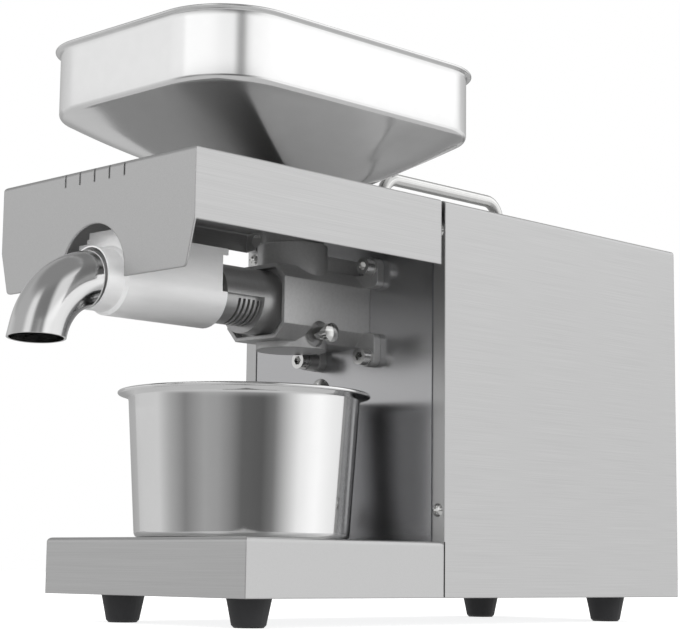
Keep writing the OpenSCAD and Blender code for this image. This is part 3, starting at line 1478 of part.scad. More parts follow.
placed() base_platform();
placed() bottom_plate();
placed() feet();
placed() foot_screws();
placed() body_casing();
placed() front_plate();
placed() bulkhead();
placed() rear_panel();
placed() casing_screws();
placed() plate_screws();
placed() rear_panel_screws();
placed() top_cover();
placed() cover_studs();
placed() throat_tube();
placed() hopper();
placed() oil_bowl();
placed() feed_block();
placed() block_screws();
placed() block_washers();
placed() locking_pin();
placed() press_cage();
placed() press_screw();
placed() cake_nozzle();
placed() band_heater();
placed() residue_trough();
placed() heater_hood();
placed() residue_spout();
placed() carrying_handle();
placed() handle_nuts();
placed() drive_shaft();
placed() shaft_seal();
placed() thrust_bearing();
placed() shaft_bearings();
placed() output_gear();
placed() first_idler_gear();
placed() second_idler_gear();
placed() idler_pins();
placed() gearbox_case();
placed() gearbox_cover();
placed() gearbox_screws();
placed() motor_pinion();
placed() motor_shaft();
placed() rotor_core();
placed() motor_fan();
placed() motor_bearings();
placed() motor_can();
placed() motor_end_bell();
placed() stator_core();
placed() stator_windings();
placed() motor_cradle();
placed() run_capacitor();
placed() capacitor_clip();
placed() power_inlet();
placed() motor_switch();
placed() motor_rocker();
placed() heater_switch();
placed() heater_rocker();
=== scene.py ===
# Looks of a household screw oil press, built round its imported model.
# Metres, +Z up. The residue spout points to -Y, the deep side of the canopy is at +X.
import math

import bmesh
import bpy
import numpy as np
from mathutils import Euler, Matrix, Vector


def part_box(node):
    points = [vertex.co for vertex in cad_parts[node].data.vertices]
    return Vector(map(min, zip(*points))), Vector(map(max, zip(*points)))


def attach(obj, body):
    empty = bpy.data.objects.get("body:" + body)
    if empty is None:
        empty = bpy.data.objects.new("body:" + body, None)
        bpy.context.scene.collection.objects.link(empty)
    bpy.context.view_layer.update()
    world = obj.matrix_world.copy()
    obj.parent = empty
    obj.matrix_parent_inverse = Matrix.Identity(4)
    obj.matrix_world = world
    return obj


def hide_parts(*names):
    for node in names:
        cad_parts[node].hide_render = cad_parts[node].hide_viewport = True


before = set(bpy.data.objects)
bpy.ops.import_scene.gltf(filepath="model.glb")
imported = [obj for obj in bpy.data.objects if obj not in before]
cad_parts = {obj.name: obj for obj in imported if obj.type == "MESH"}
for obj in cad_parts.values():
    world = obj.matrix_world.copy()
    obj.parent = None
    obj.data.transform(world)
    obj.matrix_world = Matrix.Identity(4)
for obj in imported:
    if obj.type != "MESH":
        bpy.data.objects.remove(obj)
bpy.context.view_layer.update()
print("frame loaded:", len(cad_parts), "nodes")

mm = 0.001

# Camera: low in front of the right-hand corner, looking slightly up
camera = {
    "lens": 97.505,
    "sensor": 36,
    "near": 0.01,
    "place": (0.78725, -0.79468, 0.03212),
    "turn": (97.832, -0.686, 44.553),
}


def placeCamera():
    data = bpy.data.cameras.new("camera")
    data.lens = camera["lens"]
    data.sensor_width = camera["sensor"]
    data.clip_start = camera["near"]
    eye = bpy.data.objects.new("camera", data)
    turn = Euler([math.radians(angle) for angle in camera["turn"]], "XYZ")
    eye.matrix_world = Matrix.Translation(camera["place"]) @ turn.to_matrix().to_4x4()
    bpy.context.scene.collection.objects.link(eye)
    bpy.context.scene.camera = eye


placeCamera()
bpy.context.scene.view_settings.view_transform = "Standard"


# Node helpers
def tree(owner):
    owner.use_nodes = True
    owner.node_tree.nodes.clear()
    return owner.node_tree


def add(net, kind, **values):
    node = net.nodes.new(kind)
    for key, value in values.items():
        setattr(node, key, value)
    return node


def wire(net, source, target):
    net.links.new(source, target)


def feed(net, node, values):
    # A number is set on the socket, an output is linked to it, and None leaves it alone
    for socket, value in zip(node.inputs, values):
        if isinstance(value, bpy.types.NodeSocket):
            wire(net, value, socket)
        elif value is not None:
            socket.default_value = value


def settle(node, values):
    for name, value in values.items():
        node.inputs[name].default_value = value


def maths(net, operation, *values):
    node = add(net, "ShaderNodeMath", operation=operation)
    feed(net, node, values)
    return node.outputs[0]


# Studio: what metal reflects, as brightness by azimuth in degrees, at four heights above the horizon
studio = {
    "low": (
        (-180, 0.55), (-168, 0.60), (-138, 0.62), (-122, 0.40), (-103, 0.22), (-82, 0.36), (-68, 0.33),
        (-56, 0.24), (-44, 0.12), (-24, 0.10), (-12, 0.18), (2, 0.52), (16, 0.85), (31, 1.0), (39, 1.03),
        (57, 0.90), (74, 0.82), (92, 0.74), (100, 0.42), (110, 0.20), (140, 0.32), (179, 0.45),
    ),
    "middle": (
        (-180, 0.64), (-135, 0.72), (-112, 0.62), (-86, 0.55), (-66, 0.50), (-44, 0.25), (-20, 0.2),
        (2, 0.52), (16, 0.85), (31, 0.95), (57, 0.92), (80, 0.85), (115, 0.5), (140, 0.4), (179, 0.45),
    ),
    "high": (
        (-180, 0.6), (-158, 0.7), (-138, 0.92), (-126, 0.95), (-116, 0.98), (-108, 1.2), (-32, 1.1),
        (-23, 0.4), (-17, 0.4), (-9, 0.95), (0, 1.1), (60, 1.2), (70, 1.05), (84, 0.62), (115, 0.45),
        (140, 0.4), (179, 0.6),
    ),
    "upper": (
        (-180, 0.40), (-150, 0.46), (-98, 0.46), (-82, 0.85), (-66, 0.85), (-54, 0.22), (-14, 0.2),
        (-2, 0.8), (40, 0.8), (50, 0.8), (60, 1.2), (82, 1.2), (94, 0.4), (179, 0.40),
    ),
    # Heights in degrees between which one band gives way to the next
    "lowToMiddle": (0.0, 4.0),
    "middleToHigh": (10.0, 13.5),
    "highToUpper": (17.0, 25.0),
    "upperToTop": (46.0, 64.0),
    "bottomToLow": (-20.0, -9.0),
    "top": 0.26,
    "bottom": 0.54,
    "room": 0.62,
    "brightest": 2.0,
}


def lightStudio():
    # Azimuth picks the brightness in four bands, height blends them into each other, top and bottom.
    # Camera rays see plain white, diffuse rays an even room
    world = bpy.data.worlds.new("studio")
    bpy.context.scene.world = world
    net = tree(world)
    path = add(net, "ShaderNodeLightPath")
    way = add(net, "ShaderNodeTexCoord")
    split = add(net, "ShaderNodeSeparateXYZ")
    wire(net, way.outputs["Generated"], split.inputs[0])
    around = maths(net, "ARCTAN2", split.outputs["Y"], split.outputs["X"])
    share = maths(net, "MULTIPLY_ADD", around, 1 / (2 * math.pi), 0.5)

    def band(stops):
        # Brightness by azimuth; the ramp can't hold more than 1, so it holds shares of the brightest
        ramp = add(net, "ShaderNodeValToRGB")
        marks = ramp.color_ramp.elements
        marks.remove(marks[1])
        for index, (azimuth, level) in enumerate(stops):
            place = (azimuth + 180) / 360
            mark = marks[0] if index == 0 else marks.new(place)
            mark.position = place
            mark.color = (*[level / studio["brightest"]] * 3, 1)
        wire(net, share, ramp.inputs[0])
        return maths(net, "MULTIPLY", ramp.outputs["Color"], studio["brightest"])

    def fade(low, high):
        node = add(net, "ShaderNodeMapRange", interpolation_type="SMOOTHSTEP")
        start, end = math.sin(math.radians(low)), math.sin(math.radians(high))
        settle(node, {"From Min": start, "From Max": end})
        wire(net, split.outputs["Z"], node.inputs["Value"])
        return node.outputs["Result"]

    def blend(factor, first, second):
        # first where factor is 0, second where it is 1
        node = add(net, "ShaderNodeMix", data_type="FLOAT")
        feed(net, node, (factor, None, first, second))
        return node.outputs[0]

    level = blend(fade(*studio["lowToMiddle"]), band(studio["low"]), band(studio["middle"]))
    level = blend(fade(*studio["middleToHigh"]), level, band(studio["high"]))
    level = blend(fade(*studio["highToUpper"]), level, band(studio["upper"]))
    level = blend(fade(*studio["upperToTop"]), level, studio["top"])
    level = blend(fade(*studio["bottomToLow"]), studio["bottom"], level)
    level = blend(path.outputs["Is Diffuse Ray"], level, studio["room"])
    level = blend(path.outputs["Is Camera Ray"], level, 1.0)
    glow = add(net, "ShaderNodeBackground")
    settle(glow, {"Color": (1, 1, 1, 1)})
    wire(net, level, glow.inputs["Strength"])
    wire(net, glow.outputs[0], add(net, "ShaderNodeOutputWorld").inputs["Surface"])


lamps = {
    "front": {"place": (-0.6, -1.6, 1.3), "size": 1.2, "power": 14},
    "side": {"place": (1.8, 0.2, 1.0), "size": 1.4, "power": 12},
    "top": {"place": (0.1, -0.1, 1.8), "size": 1.6, "power": 10},
    "fill": {"place": (1.0, -1.0, 0.25), "size": 0.7, "power": 7},
}
lampAim = Vector((0, 0, 0.15))


def hangLamp(name, place, size, power):
    # A square area lamp that points at the press and that no metal shows
    data = bpy.data.lights.new(name, "AREA")
    data.size = size
    data.energy = power
    lamp = bpy.data.objects.new(name, data)
    lamp.location = place
    lamp.rotation_euler = (lampAim - Vector(place)).to_track_quat("-Z", "Y").to_euler()
    lamp.visible_glossy = False
    bpy.context.scene.collection.objects.link(lamp)


lightStudio()
for lampName, lampValues in lamps.items():
    hangLamp(lampName, **lampValues)


ground = {"half": 6.0, "matt": 0.6, "glow": 0.76}


def floorPaint():
    # White to the camera, less what a shadow takes away
    paint = bpy.data.materials.new("floorPaint")
    net = tree(paint)
    path = add(net, "ShaderNodeLightPath")
    matt = add(net, "ShaderNodeBsdfDiffuse")
    settle(matt, {"Color": (*[ground["matt"]] * 3, 1)})
    glow = add(net, "ShaderNodeEmission")
    wire(net, maths(net, "MULTIPLY", path.outputs["Is Camera Ray"], ground["glow"]), glow.inputs["Strength"])
    both = add(net, "ShaderNodeAddShader")
    wire(net, matt.outputs[0], both.inputs[0])
    wire(net, glow.outputs[0], both.inputs[1])
    wire(net, both.outputs[0], add(net, "ShaderNodeOutputMaterial").inputs["Surface"])
    return paint


def layFloor():
    mesh = bpy.data.meshes.new("floor")
    half = ground["half"]
    corners = [(-half, -half, 0), (half, -half, 0), (half, half, 0), (-half, half, 0)]
    mesh.from_pydata(corners, [], [(0, 1, 2, 3)])
    floor = bpy.data.objects.new("floor", mesh)
    floor.visible_glossy = False  # metal shows the studio's lower part in its place
    mesh.materials.append(floorPaint())
    bpy.context.scene.collection.objects.link(floor)


layFloor()
print("camera, studio and floor set")


# Finishes
def principled(name):
    paint = bpy.data.materials.new(name)
    net = tree(paint)
    skin = add(net, "ShaderNodeBsdfPrincipled")
    wire(net, skin.outputs[0], add(net, "ShaderNodeOutputMaterial").inputs["Surface"])
    return paint, net, skin


grain = {
    "scale": 1.0, "detail": 3.0, "roughness": 0.6,
    "low": 0.3, "high": 0.7,  # the part of the noise's range that is spread over the colour
    "depth": 0.2 * mm, "cornerSamples": 6,
}


def grained(name, colour, roughness, stretch, strength=0.06, bump=0.02, metallic=1.0, unevenness=0.03,
            edge=0.0):
    # Metal whose colour and roughness waver along a fine grain: noise stretched by the three given scales.
    # edge is the radius in metres that folded sheet shows at its corners
    paint, net, skin = principled(name)
    settle(skin, {"Metallic": metallic})
    place = add(net, "ShaderNodeTexCoord")
    turn = add(net, "ShaderNodeMapping")
    settle(turn, {"Scale": stretch})
    wire(net, place.outputs["Object"], turn.inputs["Vector"])
    noise = add(net, "ShaderNodeTexNoise")
    settle(noise, {"Scale": grain["scale"], "Detail": grain["detail"], "Roughness": grain["roughness"]})
    wire(net, turn.outputs[0], noise.inputs["Vector"])
    shade = add(net, "ShaderNodeMapRange")
    settle(shade, {"From Min": grain["low"], "From Max": grain["high"]})
    settle(shade, {"To Min": 1 - strength, "To Max": 1 + strength})
    wire(net, noise.outputs[0], shade.inputs["Value"])
    tint = add(net, "ShaderNodeVectorMath", operation="SCALE")
    tint.inputs[0].default_value = colour
    wire(net, shade.outputs["Result"], tint.inputs["Scale"])
    wire(net, tint.outputs[0], skin.inputs["Base Color"])
    gloss = add(net, "ShaderNodeMapRange")
    settle(gloss, {"To Min": roughness - unevenness, "To Max": roughness + unevenness})
    wire(net, noise.outputs[0], gloss.inputs["Value"])
    wire(net, gloss.outputs["Result"], skin.inputs["Roughness"])
    if bump:
        relief = add(net, "ShaderNodeBump")
        settle(relief, {"Strength": bump, "Distance": grain["depth"]})
        wire(net, noise.outputs[0], relief.inputs["Height"])
        wire(net, relief.outputs[0], skin.inputs["Normal"])
        if edge:
            corner = add(net, "ShaderNodeBevel", samples=grain["cornerSamples"])
            settle(corner, {"Radius": edge})
            wire(net, corner.outputs[0], relief.inputs["Normal"])
    return paint


def plain(name, colour, roughness, metallic=0.0):
    paint, net, skin = principled(name)
    settle(skin, {"Base Color": (*colour, 1), "Roughness": roughness, "Metallic": metallic})
    return paint


# Colour, roughness and grain of each metal; the sheets are brushed along Y and along X
fine, coarse, fold = 2600, 14, 1 * mm
even = {"strength": 0.01, "bump": 0.0, "unevenness": 0.01}
metals = {
    "pan": ((0.90, 0.90, 0.90), 0.16, (120, 120, 120),
            {"strength": 0.015, "bump": 0.0, "unevenness": 0.015}),
    "mirror": ((0.92, 0.92, 0.92), 0.08, (60, 60, 60), even),
    "chrome": ((0.81, 0.81, 0.81), 0.14, (60, 60, 60), even),
    "sheetAlong": ((0.60, 0.60, 0.60), 0.34, (fine, coarse, fine), {"edge": fold}),
    "sheetAcross": ((0.62, 0.62, 0.62), 0.34, (coarse, fine, fine), {"edge": fold}),
    "plateSteel": ((0.58, 0.58, 0.59), 0.24, (4, 4000, 4000), {"strength": 0.02, "bump": 0.005}),
    "polished": ((0.92, 0.92, 0.92), 0.08, (60, 60, 60), even),
    "satin": ((0.90, 0.90, 0.90), 0.38, (300, 60, 300), {"strength": 0.02, "bump": 0.01, "metallic": 0.35}),
    "zinc": ((0.55, 0.56, 0.58), 0.4, (90, 90, 90), {}),
    "bright": ((0.80, 0.80, 0.79), 0.16, (200, 200, 200), {"strength": 0.03, "bump": 0.0}),
    "cast": ((0.50, 0.50, 0.50), 0.36, (500, 500, 500),
             {"strength": 0.05, "bump": 0.04, "metallic": 0.75, "edge": fold}),
    "machined": ((0.46, 0.46, 0.46), 0.32, (200, 2000, 200), {"metallic": 0.8, "edge": fold / 3}),
    "brass": ((0.72, 0.56, 0.28), 0.3, (300, 300, 300), {"strength": 0.05}),
    "copper": ((0.60, 0.28, 0.14), 0.4, (1500, 1500, 1500), {"strength": 0.1}),
    "aluminium": ((0.62, 0.62, 0.62), 0.45, (600, 600, 600), {"strength": 0.05}),
    "lamination": ((0.22, 0.23, 0.25), 0.5, (40, 2500, 40), {"strength": 0.2}),
}
# Colour, roughness and metal share of what has no grain
smooth = {
    # painted shade: near-black metal for the strips that stand in for the shadow in the seam between
    # platform and casing
    "paintedGapShade": ((0.05, 0.05, 0.05), 0.5, 1.0),
    "rubber": ((0.028, 0.028, 0.03), 0.55, 0.0),
    "palePlastic": ((0.72, 0.71, 0.67), 0.45, 0.0),
    "blackPlastic": ((0.022, 0.022, 0.023), 0.38, 0.0),
    "redPlastic": ((0.5, 0.03, 0.02), 0.25, 0.0),
}
finishes = {name: grained(name, *values, **extras) for name, (*values, extras) in metals.items()}
finishes.update({name: plain(name, *values) for name, values in smooth.items()})

# Finish of each CAD node; the others are machined steel
nodeFinish = {
    "base_platform": "sheetAcross", "bottom_plate": "zinc", "feet": "rubber", "foot_screws": "bright",
    "body_casing": "sheetAlong", "front_plate": "plateSteel", "bulkhead": "zinc",
    "rear_panel": "sheetAcross", "casing_screws": "bright", "plate_screws": "bright",
    "rear_panel_screws": "bright", "top_cover": "sheetAlong", "cover_studs": "bright", "hopper": "polished",
    "oil_bowl": "polished", "feed_block": "cast", "block_screws": "bright", "locking_pin": "bright",
    "band_heater": "brass", "residue_trough": "satin", "heater_hood": "satin", "residue_spout": "polished",
    "carrying_handle": "polished", "handle_nuts": "bright", "shaft_seal": "rubber", "motor_pinion": "brass",
    "gearbox_case": "aluminium", "gearbox_cover": "aluminium", "gearbox_screws": "bright",
    "rotor_core": "lamination", "stator_core": "lamination", "stator_windings": "copper",
    "motor_fan": "palePlastic", "run_capacitor": "palePlastic", "motor_can": "zinc",
    "motor_end_bell": "aluminium", "motor_cradle": "zinc", "capacitor_clip": "zinc",
    "power_inlet": "blackPlastic", "motor_switch": "blackPlastic", "motor_rocker": "blackPlastic",
    "heater_switch": "blackPlastic", "heater_rocker": "redPlastic",
}
for nodeName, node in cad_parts.items():
    finish = finishes[nodeFinish.get(nodeName, "machined")]
    for materialSlot in node.material_slots:
        materialSlot.link = "OBJECT"
        materialSlot.material = finish
print("finishes on", len(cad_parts), "nodes")


# Surfaces from numpy grids
def gridPiece(name, rings, start=None, end=None, loop=False, sharp=35):
    # Each row of rings is a closed loop of points. start and end close the piece with a point,
    # loop joins the last row to the first
    rows, columns = rings.shape[:2]
    index = np.arange(rows * columns).reshape(rows, columns)
    first = index if loop else index[:-1]
    second = np.roll(index, -1, 0)[: len(first)]
    faces = np.stack([first, np.roll(first, -1, 1), np.roll(second, -1, 1), second], 2)
    faces = faces.reshape(-1, 4).tolist()
    points = [rings.reshape(-1, 3)]
    for point, row in ((start, index[0]), (end, index[-1])):
        if point is not None:
            tip = np.full(columns, sum(len(part) for part in points))
            faces += np.stack([row, np.roll(row, -1), tip], 1).tolist()
            points.append(np.array([point], float))
    mesh = bpy.data.meshes.new(name)
    mesh.from_pydata(np.concatenate(points).tolist(), [], faces)
    shell = bmesh.new()
    shell.from_mesh(mesh)
    bmesh.ops.recalc_face_normals(shell, faces=shell.faces)
    shell.to_mesh(mesh)
    shell.free()
    mesh.shade_smooth()
    mesh.set_sharp_from_angle(angle=math.radians(sharp))
    piece = bpy.data.objects.new(name, mesh)
    bpy.context.scene.collection.objects.link(piece)
    return piece


def dress(piece, finishName, body, slotName, *nodes):
    # Finish, body, material slot name, which is not used, and the CAD nodes that the piece stands for
    piece.data.materials.append(finishes[finishName])
    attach(piece, body)
    if nodes:
        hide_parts(*nodes)


def arc(start, stop, steps):
    # Angles from start to stop in degrees, as radians
    return np.radians(np.linspace(start, stop, steps + 1))


def rounded(centre, radius, start, stop, steps):
    # Points of an arc in a flat profile
    turn = arc(start, stop, steps)
    return np.stack([centre[0] + radius * np.cos(turn), centre[1] + radius * np.sin(turn)], 1)


def lathe(profile, centre, columns):
    # Turns a profile of radius and height about the upright axis through centre
    turn = np.linspace(0, 2 * np.pi, columns, endpoint=False)
    radius, height = profile[:, 0, None], profile[:, 1, None]
    rings = np.stack([radius * np.cos(turn), radius * np.sin(turn), height + 0 * turn], 2)
    return rings + np.array(centre)


def sweep(path, radius, sides):
    # A round bar or tube wall along a path in a plane of constant x
    along = np.gradient(path, axis=0)
    along /= np.linalg.norm(along, axis=1)[:, None]
    side = np.array([1.0, 0.0, 0.0])
    up = np.cross(along, side)
    turn = np.linspace(0, 2 * np.pi, sides, endpoint=False)
    radius = np.broadcast_to(radius, len(path))[:, None, None]
    return path[:, None] + radius * (np.cos(turn)[:, None] * side + np.sin(turn)[:, None] * up[:, None])


# Hopper
hopper = {
    "corner": 40.4 * mm, "bend": 4 * mm, "sheet": 1 * mm, "rimOut": 3.2 * mm, "rimThick": 1.8 * mm,
    "wall": 37.7 * mm, "neck": 15 * mm, "neckLong": 20 * mm, "mouth": 18.2 * mm,
    "easing": 8,  # degrees of the mouth that half a flat side runs to
    "fold": 1.9 * mm, "ridge": 0.7, "ridgeSoft": 1.5,  # the fold's height, its place on a corner, its flanks
    "crease": 0.3, "creasePlace": 0.71, "creaseWide": 0.14,  # the same for the long sides, as shares
    "cornerSteps": 32, "sideSteps": 40, "funnelSteps": 16, "bendSteps": 12, "rimSteps": 8, "rootSteps": 5,
    "wallShares": (0.3, 0.6, 0.9),
}


def panOutline(halfX, halfY, radius):
    # Points round a rectangle with round corners, their outward directions, the direction of each one's
    # partner on the funnel's round mouth, and its share of the funnel's fold. The fold is a ridge below
    # each corner, counted from the short side, and a low one on the long sides
    points, ways, partners, folds = [], [], [], []
    cornerSteps, sideSteps = hopper["cornerSteps"], hopper["sideSteps"]
    step = np.linspace(0, 1, cornerSteps + 1)
    side = np.linspace(0, 1, sideSteps + 1)[1:-1]
    ease = hopper["easing"]
    for quarter in range(4):
        nowX, nowY = ((1, 1), (-1, 1), (-1, -1), (1, -1))[quarter]
        nextX, nextY = ((-1, 1), (-1, -1), (1, -1), (1, 1))[quarter]
        turn = np.radians(90 * (quarter + step))
        way = np.stack([np.cos(turn), np.sin(turn)], 1)
        here = np.array([nowX * (halfX - radius), nowY * (halfY - radius)])
        there = np.array([nextX * (halfX - radius), nextY * (halfY - radius)])
        points += [here + radius * way, here + radius * way[-1] + side[:, None] * (there - here)]
        ways += [way, np.repeat(way[-1:], len(side), 0)]
        partners += [np.radians(90 * quarter + ease + (90 - 2 * ease) * step),
                     np.radians(90 * quarter + 90 - ease + 2 * ease * side)]
        place = {1: 1 - hopper["creasePlace"], 3: hopper["creasePlace"]}.get(quarter, -1)
        crease = np.clip(1 - np.abs(side - place) / hopper["creaseWide"], 0, 1)
        ridge = hopper["ridge"] if quarter % 2 else 1 - hopper["ridge"]
        flanks = np.minimum(step / ridge, (1 - step) / (1 - ridge))
        folds += [flanks ** hopper["ridgeSoft"], hopper["crease"] * crease]
    return tuple(np.concatenate(part) for part in (points, ways, partners, folds))


def makeHopper():
    # Rows of the outside from the neck up to the rolled rim, then of the inside back down to the neck
    low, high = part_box("hopper")
    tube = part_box("throat_tube")
    centre = np.array([(low.x + high.x) / 2, (low.y + high.y) / 2])
    throat = np.array([(tube[0].x + tube[1].x) / 2, (tube[0].y + tube[1].y) / 2])
    rimZ = high.z
    wallZ = rimZ - hopper["wall"]
    neckZ = low.z + hopper["neckLong"]
    halfX = (high.x - low.x) / 2 - hopper["rimOut"]
    halfY = (high.y - low.y) / 2 - hopper["rimOut"]
    points, ways, partners, folds = panOutline(halfX, halfY, hopper["corner"])
    points = points + centre
    mouthWays = np.stack([np.cos(partners), np.sin(partners)], 1)

    def level(flat, z):
        return np.concatenate([flat, np.broadcast_to(z, (len(flat),))[:, None]], 1)

    def circle(radius, z):
        return level(throat + radius * mouthWays, z)

    def skin(depth):
        # Funnel and bend, from the mouth up to the wall, at a depth below the outside. The fold swells
        # from nothing at both ends to its full height two thirds of the way up
        bend = hopper["bend"] - depth
        hub = points - hopper["bend"] * ways
        mouth = throat + (hopper["mouth"] - depth) * mouthWays
        mouthZ = neckZ + depth
        away = np.linalg.norm(hub - mouth, axis=1)
        fall = wallZ - mouthZ
        last = np.arctan2(away, fall) + np.arcsin(bend / np.hypot(away, fall))
        rows = []
        for share in np.linspace(1, 0, hopper["bendSteps"] + 1):
            turn = last * share
            flat = hub + (bend * np.cos(turn))[:, None] * ways
            rows.append(level(flat, wallZ - bend * np.sin(turn)))
        foot = level(mouth, mouthZ)
        drop = np.outer(folds, (0, 0, hopper["fold"]))
        shares = np.linspace(0, 1, hopper["funnelSteps"] + 1)[:-1]
        swell = 27 / 4 * shares**2 * (1 - shares)
        run = [foot + (rows[0] - foot) * share - drop * rise for share, rise in zip(shares, swell)]
        return run + rows

    def rim(out, z):
        return level(points + out * ways, z)

    thick, width, sheet = hopper["rimThick"], hopper["rimOut"], hopper["sheet"]
    edge = thick / 2
    lip = np.concatenate([
        rounded((sheet, rimZ - thick - sheet), sheet, 180, 90, hopper["rootSteps"]),
        rounded((width - edge, rimZ - edge), edge, -90, 90, hopper["rimSteps"]),
        rounded((-sheet, rimZ - sheet), sheet, 90, 180, hopper["rootSteps"]),
    ])
    shares = hopper["wallShares"]
    rows = [circle(hopper["neck"], z) for z in (low.z, neckZ)]
    rows += skin(0) + [rim(0, wallZ + share * (hopper["wall"] - thick - sheet)) for share in shares]
    rows += [rim(*place) for place in lip]
    rows += [rim(-sheet, wallZ + share * (hopper["wall"] - 2 * sheet)) for share in shares[::-1]]
    rows += skin(sheet)[::-1] + [circle(hopper["neck"] - sheet, z) for z in (neckZ, low.z)]
    return gridPiece("hopperSheet", np.stack(rows), loop=True)


dress(makeHopper(), "pan", "hopper_pan", "polished_steel", "hopper")
print("hopper")

# Bowl
bowl = {
    "foot": 61.8 * mm, "top": 66.6 * mm, "edge": 3.5 * mm, "sheet": 0.9 * mm, "bead": 1.1 * mm,
    "fall": 3.4 * mm,  # from the rim's crest to the wall's end
    "turnOut": 0.5, "turnDown": 0.6, "crest": 2,  # the wall's turn into the rim, in sheet thicknesses
    "hub": 0.02, "steps": 12, "beadSteps": 14, "columns": 160,
}


def makeBowl():
    # A turned profile: floor, tapering wall, flare and rolled bead, and back down the inside
    low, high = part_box("oil_bowl")
    centre = ((low.x + high.x) / 2, (low.y + high.y) / 2, low.z)
    tall = high.z - low.z
    rim = (high.x - low.x) / 2
    bead, edge, sheet, steps = bowl["bead"], bowl["edge"], bowl["sheet"], bowl["steps"]
    wallTop = tall - bowl["fall"]

    def side(depth):
        # From the middle of the floor up to the wall's top
        floor = np.linspace(bowl["hub"], 1, steps) * (bowl["foot"] - edge)
        corner = rounded((bowl["foot"] - edge, edge), edge - depth, -90, 0, steps)
        wall = np.stack([
            np.linspace(bowl["foot"], bowl["top"], steps) - depth,
            np.linspace(edge, wallTop - 2 * bead, steps),
        ], 1)
        return np.concatenate([np.stack([floor, np.full(steps, depth)], 1), corner[1:], wall[1:]])

    turnOut = np.array([[bowl["top"] + bowl["turnOut"] * sheet, wallTop - bowl["turnDown"] * sheet]])
    flare = rounded((rim - bead, tall - bead), bead, -90, 120, bowl["beadSteps"])
    crest = np.array([[bowl["top"] + bowl["crest"] * sheet, wallTop + sheet]])
    profile = np.concatenate([side(0), turnOut, flare, crest, side(sheet)[::-1]])
    rings = lathe(profile, centre, bowl["columns"])
    return gridPiece("bowlSheet", rings, centre, (centre[0], centre[1], low.z + sheet))


dress(makeBowl(), "mirror", "bowl", "polished_steel", "oil_bowl")

# Spout
spout = {
    "tube": 15.5 * mm, "wall": 1.2 * mm, "bend": 40.3 * mm, "turn": 76, "lead": 7 * mm,
    "cut": 0.3 * mm, "slant": 0.05, "lip": 0.15,  # the mouth's height, its slope and its round, in walls
    "sides": 96, "bendSteps": 60, "leadSteps": 4, "leadEnd": 0.9,
}


def makeSpout():
    # A short straight lead and a bend, as an outer and an inner tube wall joined by a round lip
    low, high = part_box("residue_spout")
    axisZ = high.z - spout["tube"]
    bendY = high.y - spout["lead"]
    turn = arc(0, spout["turn"], spout["bendSteps"])
    bend = np.stack([0 * turn, bendY - spout["bend"] * np.sin(turn),
                     axisZ - spout["bend"] * (1 - np.cos(turn))], 1)
    shares = np.linspace(0, spout["leadEnd"], spout["leadSteps"])
    lead = np.stack([0 * shares, high.y - shares * spout["lead"], axisZ + 0 * shares], 1)
    path = np.concatenate([lead, bend])
    end = np.array([0, -np.cos(turn[-1]), -np.sin(turn[-1])])

    def wall(radius):
        # A tube along the path, run on straight and cut nearly level at the mouth, highest to +X and -Y
        rings = sweep(path, radius, spout["sides"])
        x, y, z = rings[-1].T
        rise = spout["slant"] * (spout["tube"] * math.sqrt(2) + x - (y - y.mean()))
        run = (low.z + spout["cut"] + rise - z) / end[2]
        return np.concatenate([rings, (rings[-1] + run[:, None] * end)[None]])

    outer, inner = wall(spout["tube"]), wall(spout["tube"] - spout["wall"])
    lip = (outer[-1:] + inner[-1:]) / 2 + end * spout["wall"] * spout["lip"]
    return gridPiece("spoutTube", np.concatenate([outer, lip, inner[::-1]]), loop=True, sharp=50)


dress(makeSpout(), "chrome", "spout", "polished_steel", "residue_spout")

# Carrying handle
handle = {
    "rod": 4 * mm, "bend": 12 * mm, "collar": 6.5 * mm, "collarTall": 2 * mm, "round": 0.5 * mm,
    "collarBore": 2 * mm, "sides": 40, "collarColumns": 48, "collarSteps": 5,
    "legSteps": 6, "bendSteps": 16, "gripSteps": 8,
}


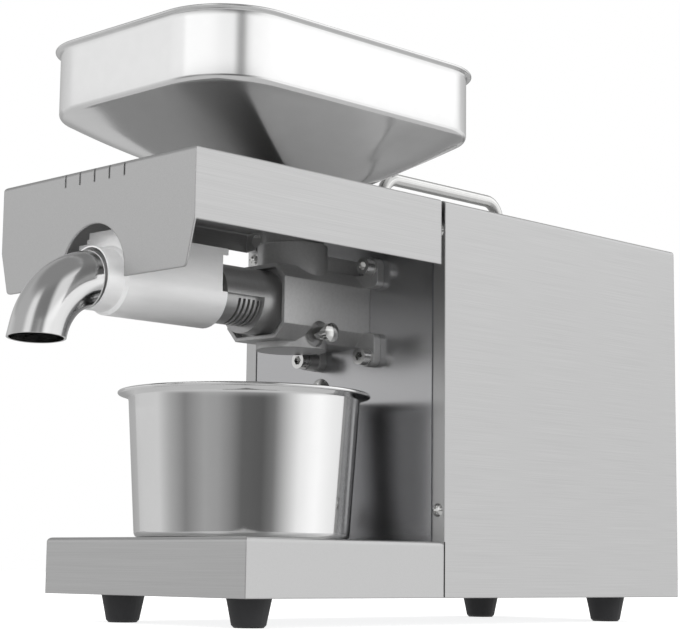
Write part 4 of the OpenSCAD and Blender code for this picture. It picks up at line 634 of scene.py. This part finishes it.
def makeHandle():
    # Up one leg, over both bends and down the other leg, with a round collar on the case at each foot
    low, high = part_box("carrying_handle")
    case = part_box("body_casing")[1].z
    reach = handle["collar"]
    front, rear = low.y + reach, high.y - reach
    topZ = high.z - handle["rod"]
    bend, bendSteps = handle["bend"], handle["bendSteps"]
    leg = np.linspace(low.z, topZ - bend, handle["legSteps"] + 1)[:-1]
    grip = np.linspace(front + bend, rear - bend, handle["gripSteps"] + 1)[1:-1]
    yz = np.concatenate([
        np.stack([front + 0 * leg, leg], 1),
        rounded((front + bend, topZ - bend), bend, 180, 90, bendSteps),
        np.stack([grip, topZ + 0 * grip], 1),
        rounded((rear - bend, topZ - bend), bend, 90, 0, bendSteps),
        np.stack([rear + 0 * leg, leg[::-1]], 1),
    ])
    path = np.concatenate([np.zeros((len(yz), 1)), yz], 1)
    rod = gridPiece("handleRod", sweep(path, handle["rod"], handle["sides"]), path[0], path[-1])
    dress(rod, "bright", "housing", "polished_steel", "carrying_handle")
    soft, tall, bore = handle["round"], handle["collarTall"], handle["collarBore"]
    crown = rounded((reach - soft, tall - soft), soft, 0, 90, handle["collarSteps"])
    profile = np.concatenate([[[bore, 0], [reach, 0]], crown, [[bore, tall]]])
    for name, y in (("frontCollar", front), ("rearCollar", rear)):
        ring = gridPiece(name, lathe(profile, (0, y, case), handle["collarColumns"]), loop=True)
        dress(ring, "bright", "housing", "polished_steel")


makeHandle()
print("bowl, spout and handle")

# Painted shade in the seam between the base platform and the casing
seam = {"wide": 0.9 * mm, "proud": 0.06 * mm, "lift": 0.4 * mm, "rows": 6}


def makeSeam():
    # A near-black strip of painted shade up each side, along the casing's front edge, from the platform's
    # foot to its top, standing in for the shadow in the gap there
    platform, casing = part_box("base_platform"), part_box("body_casing")
    low, high = platform[0].z + seam["lift"], platform[1].z
    y = casing[0].y
    out = np.array([0, seam["proud"], seam["proud"], 0])
    across = np.array([0, 0, seam["wide"], seam["wide"]])
    for name, sign, x in (("nearGapShade", 1, casing[1].x), ("farGapShade", -1, casing[0].x)):
        heights = np.linspace(low, high, seam["rows"])
        rings = np.array([np.stack([x + sign * out, y + across, z + 0 * out], 1) for z in heights])
        strip = gridPiece(name, rings, rings[0].mean(0), rings[-1].mean(0))
        dress(strip, "paintedGapShade", "housing", "seal_rubber")


makeSeam()
print("seam")
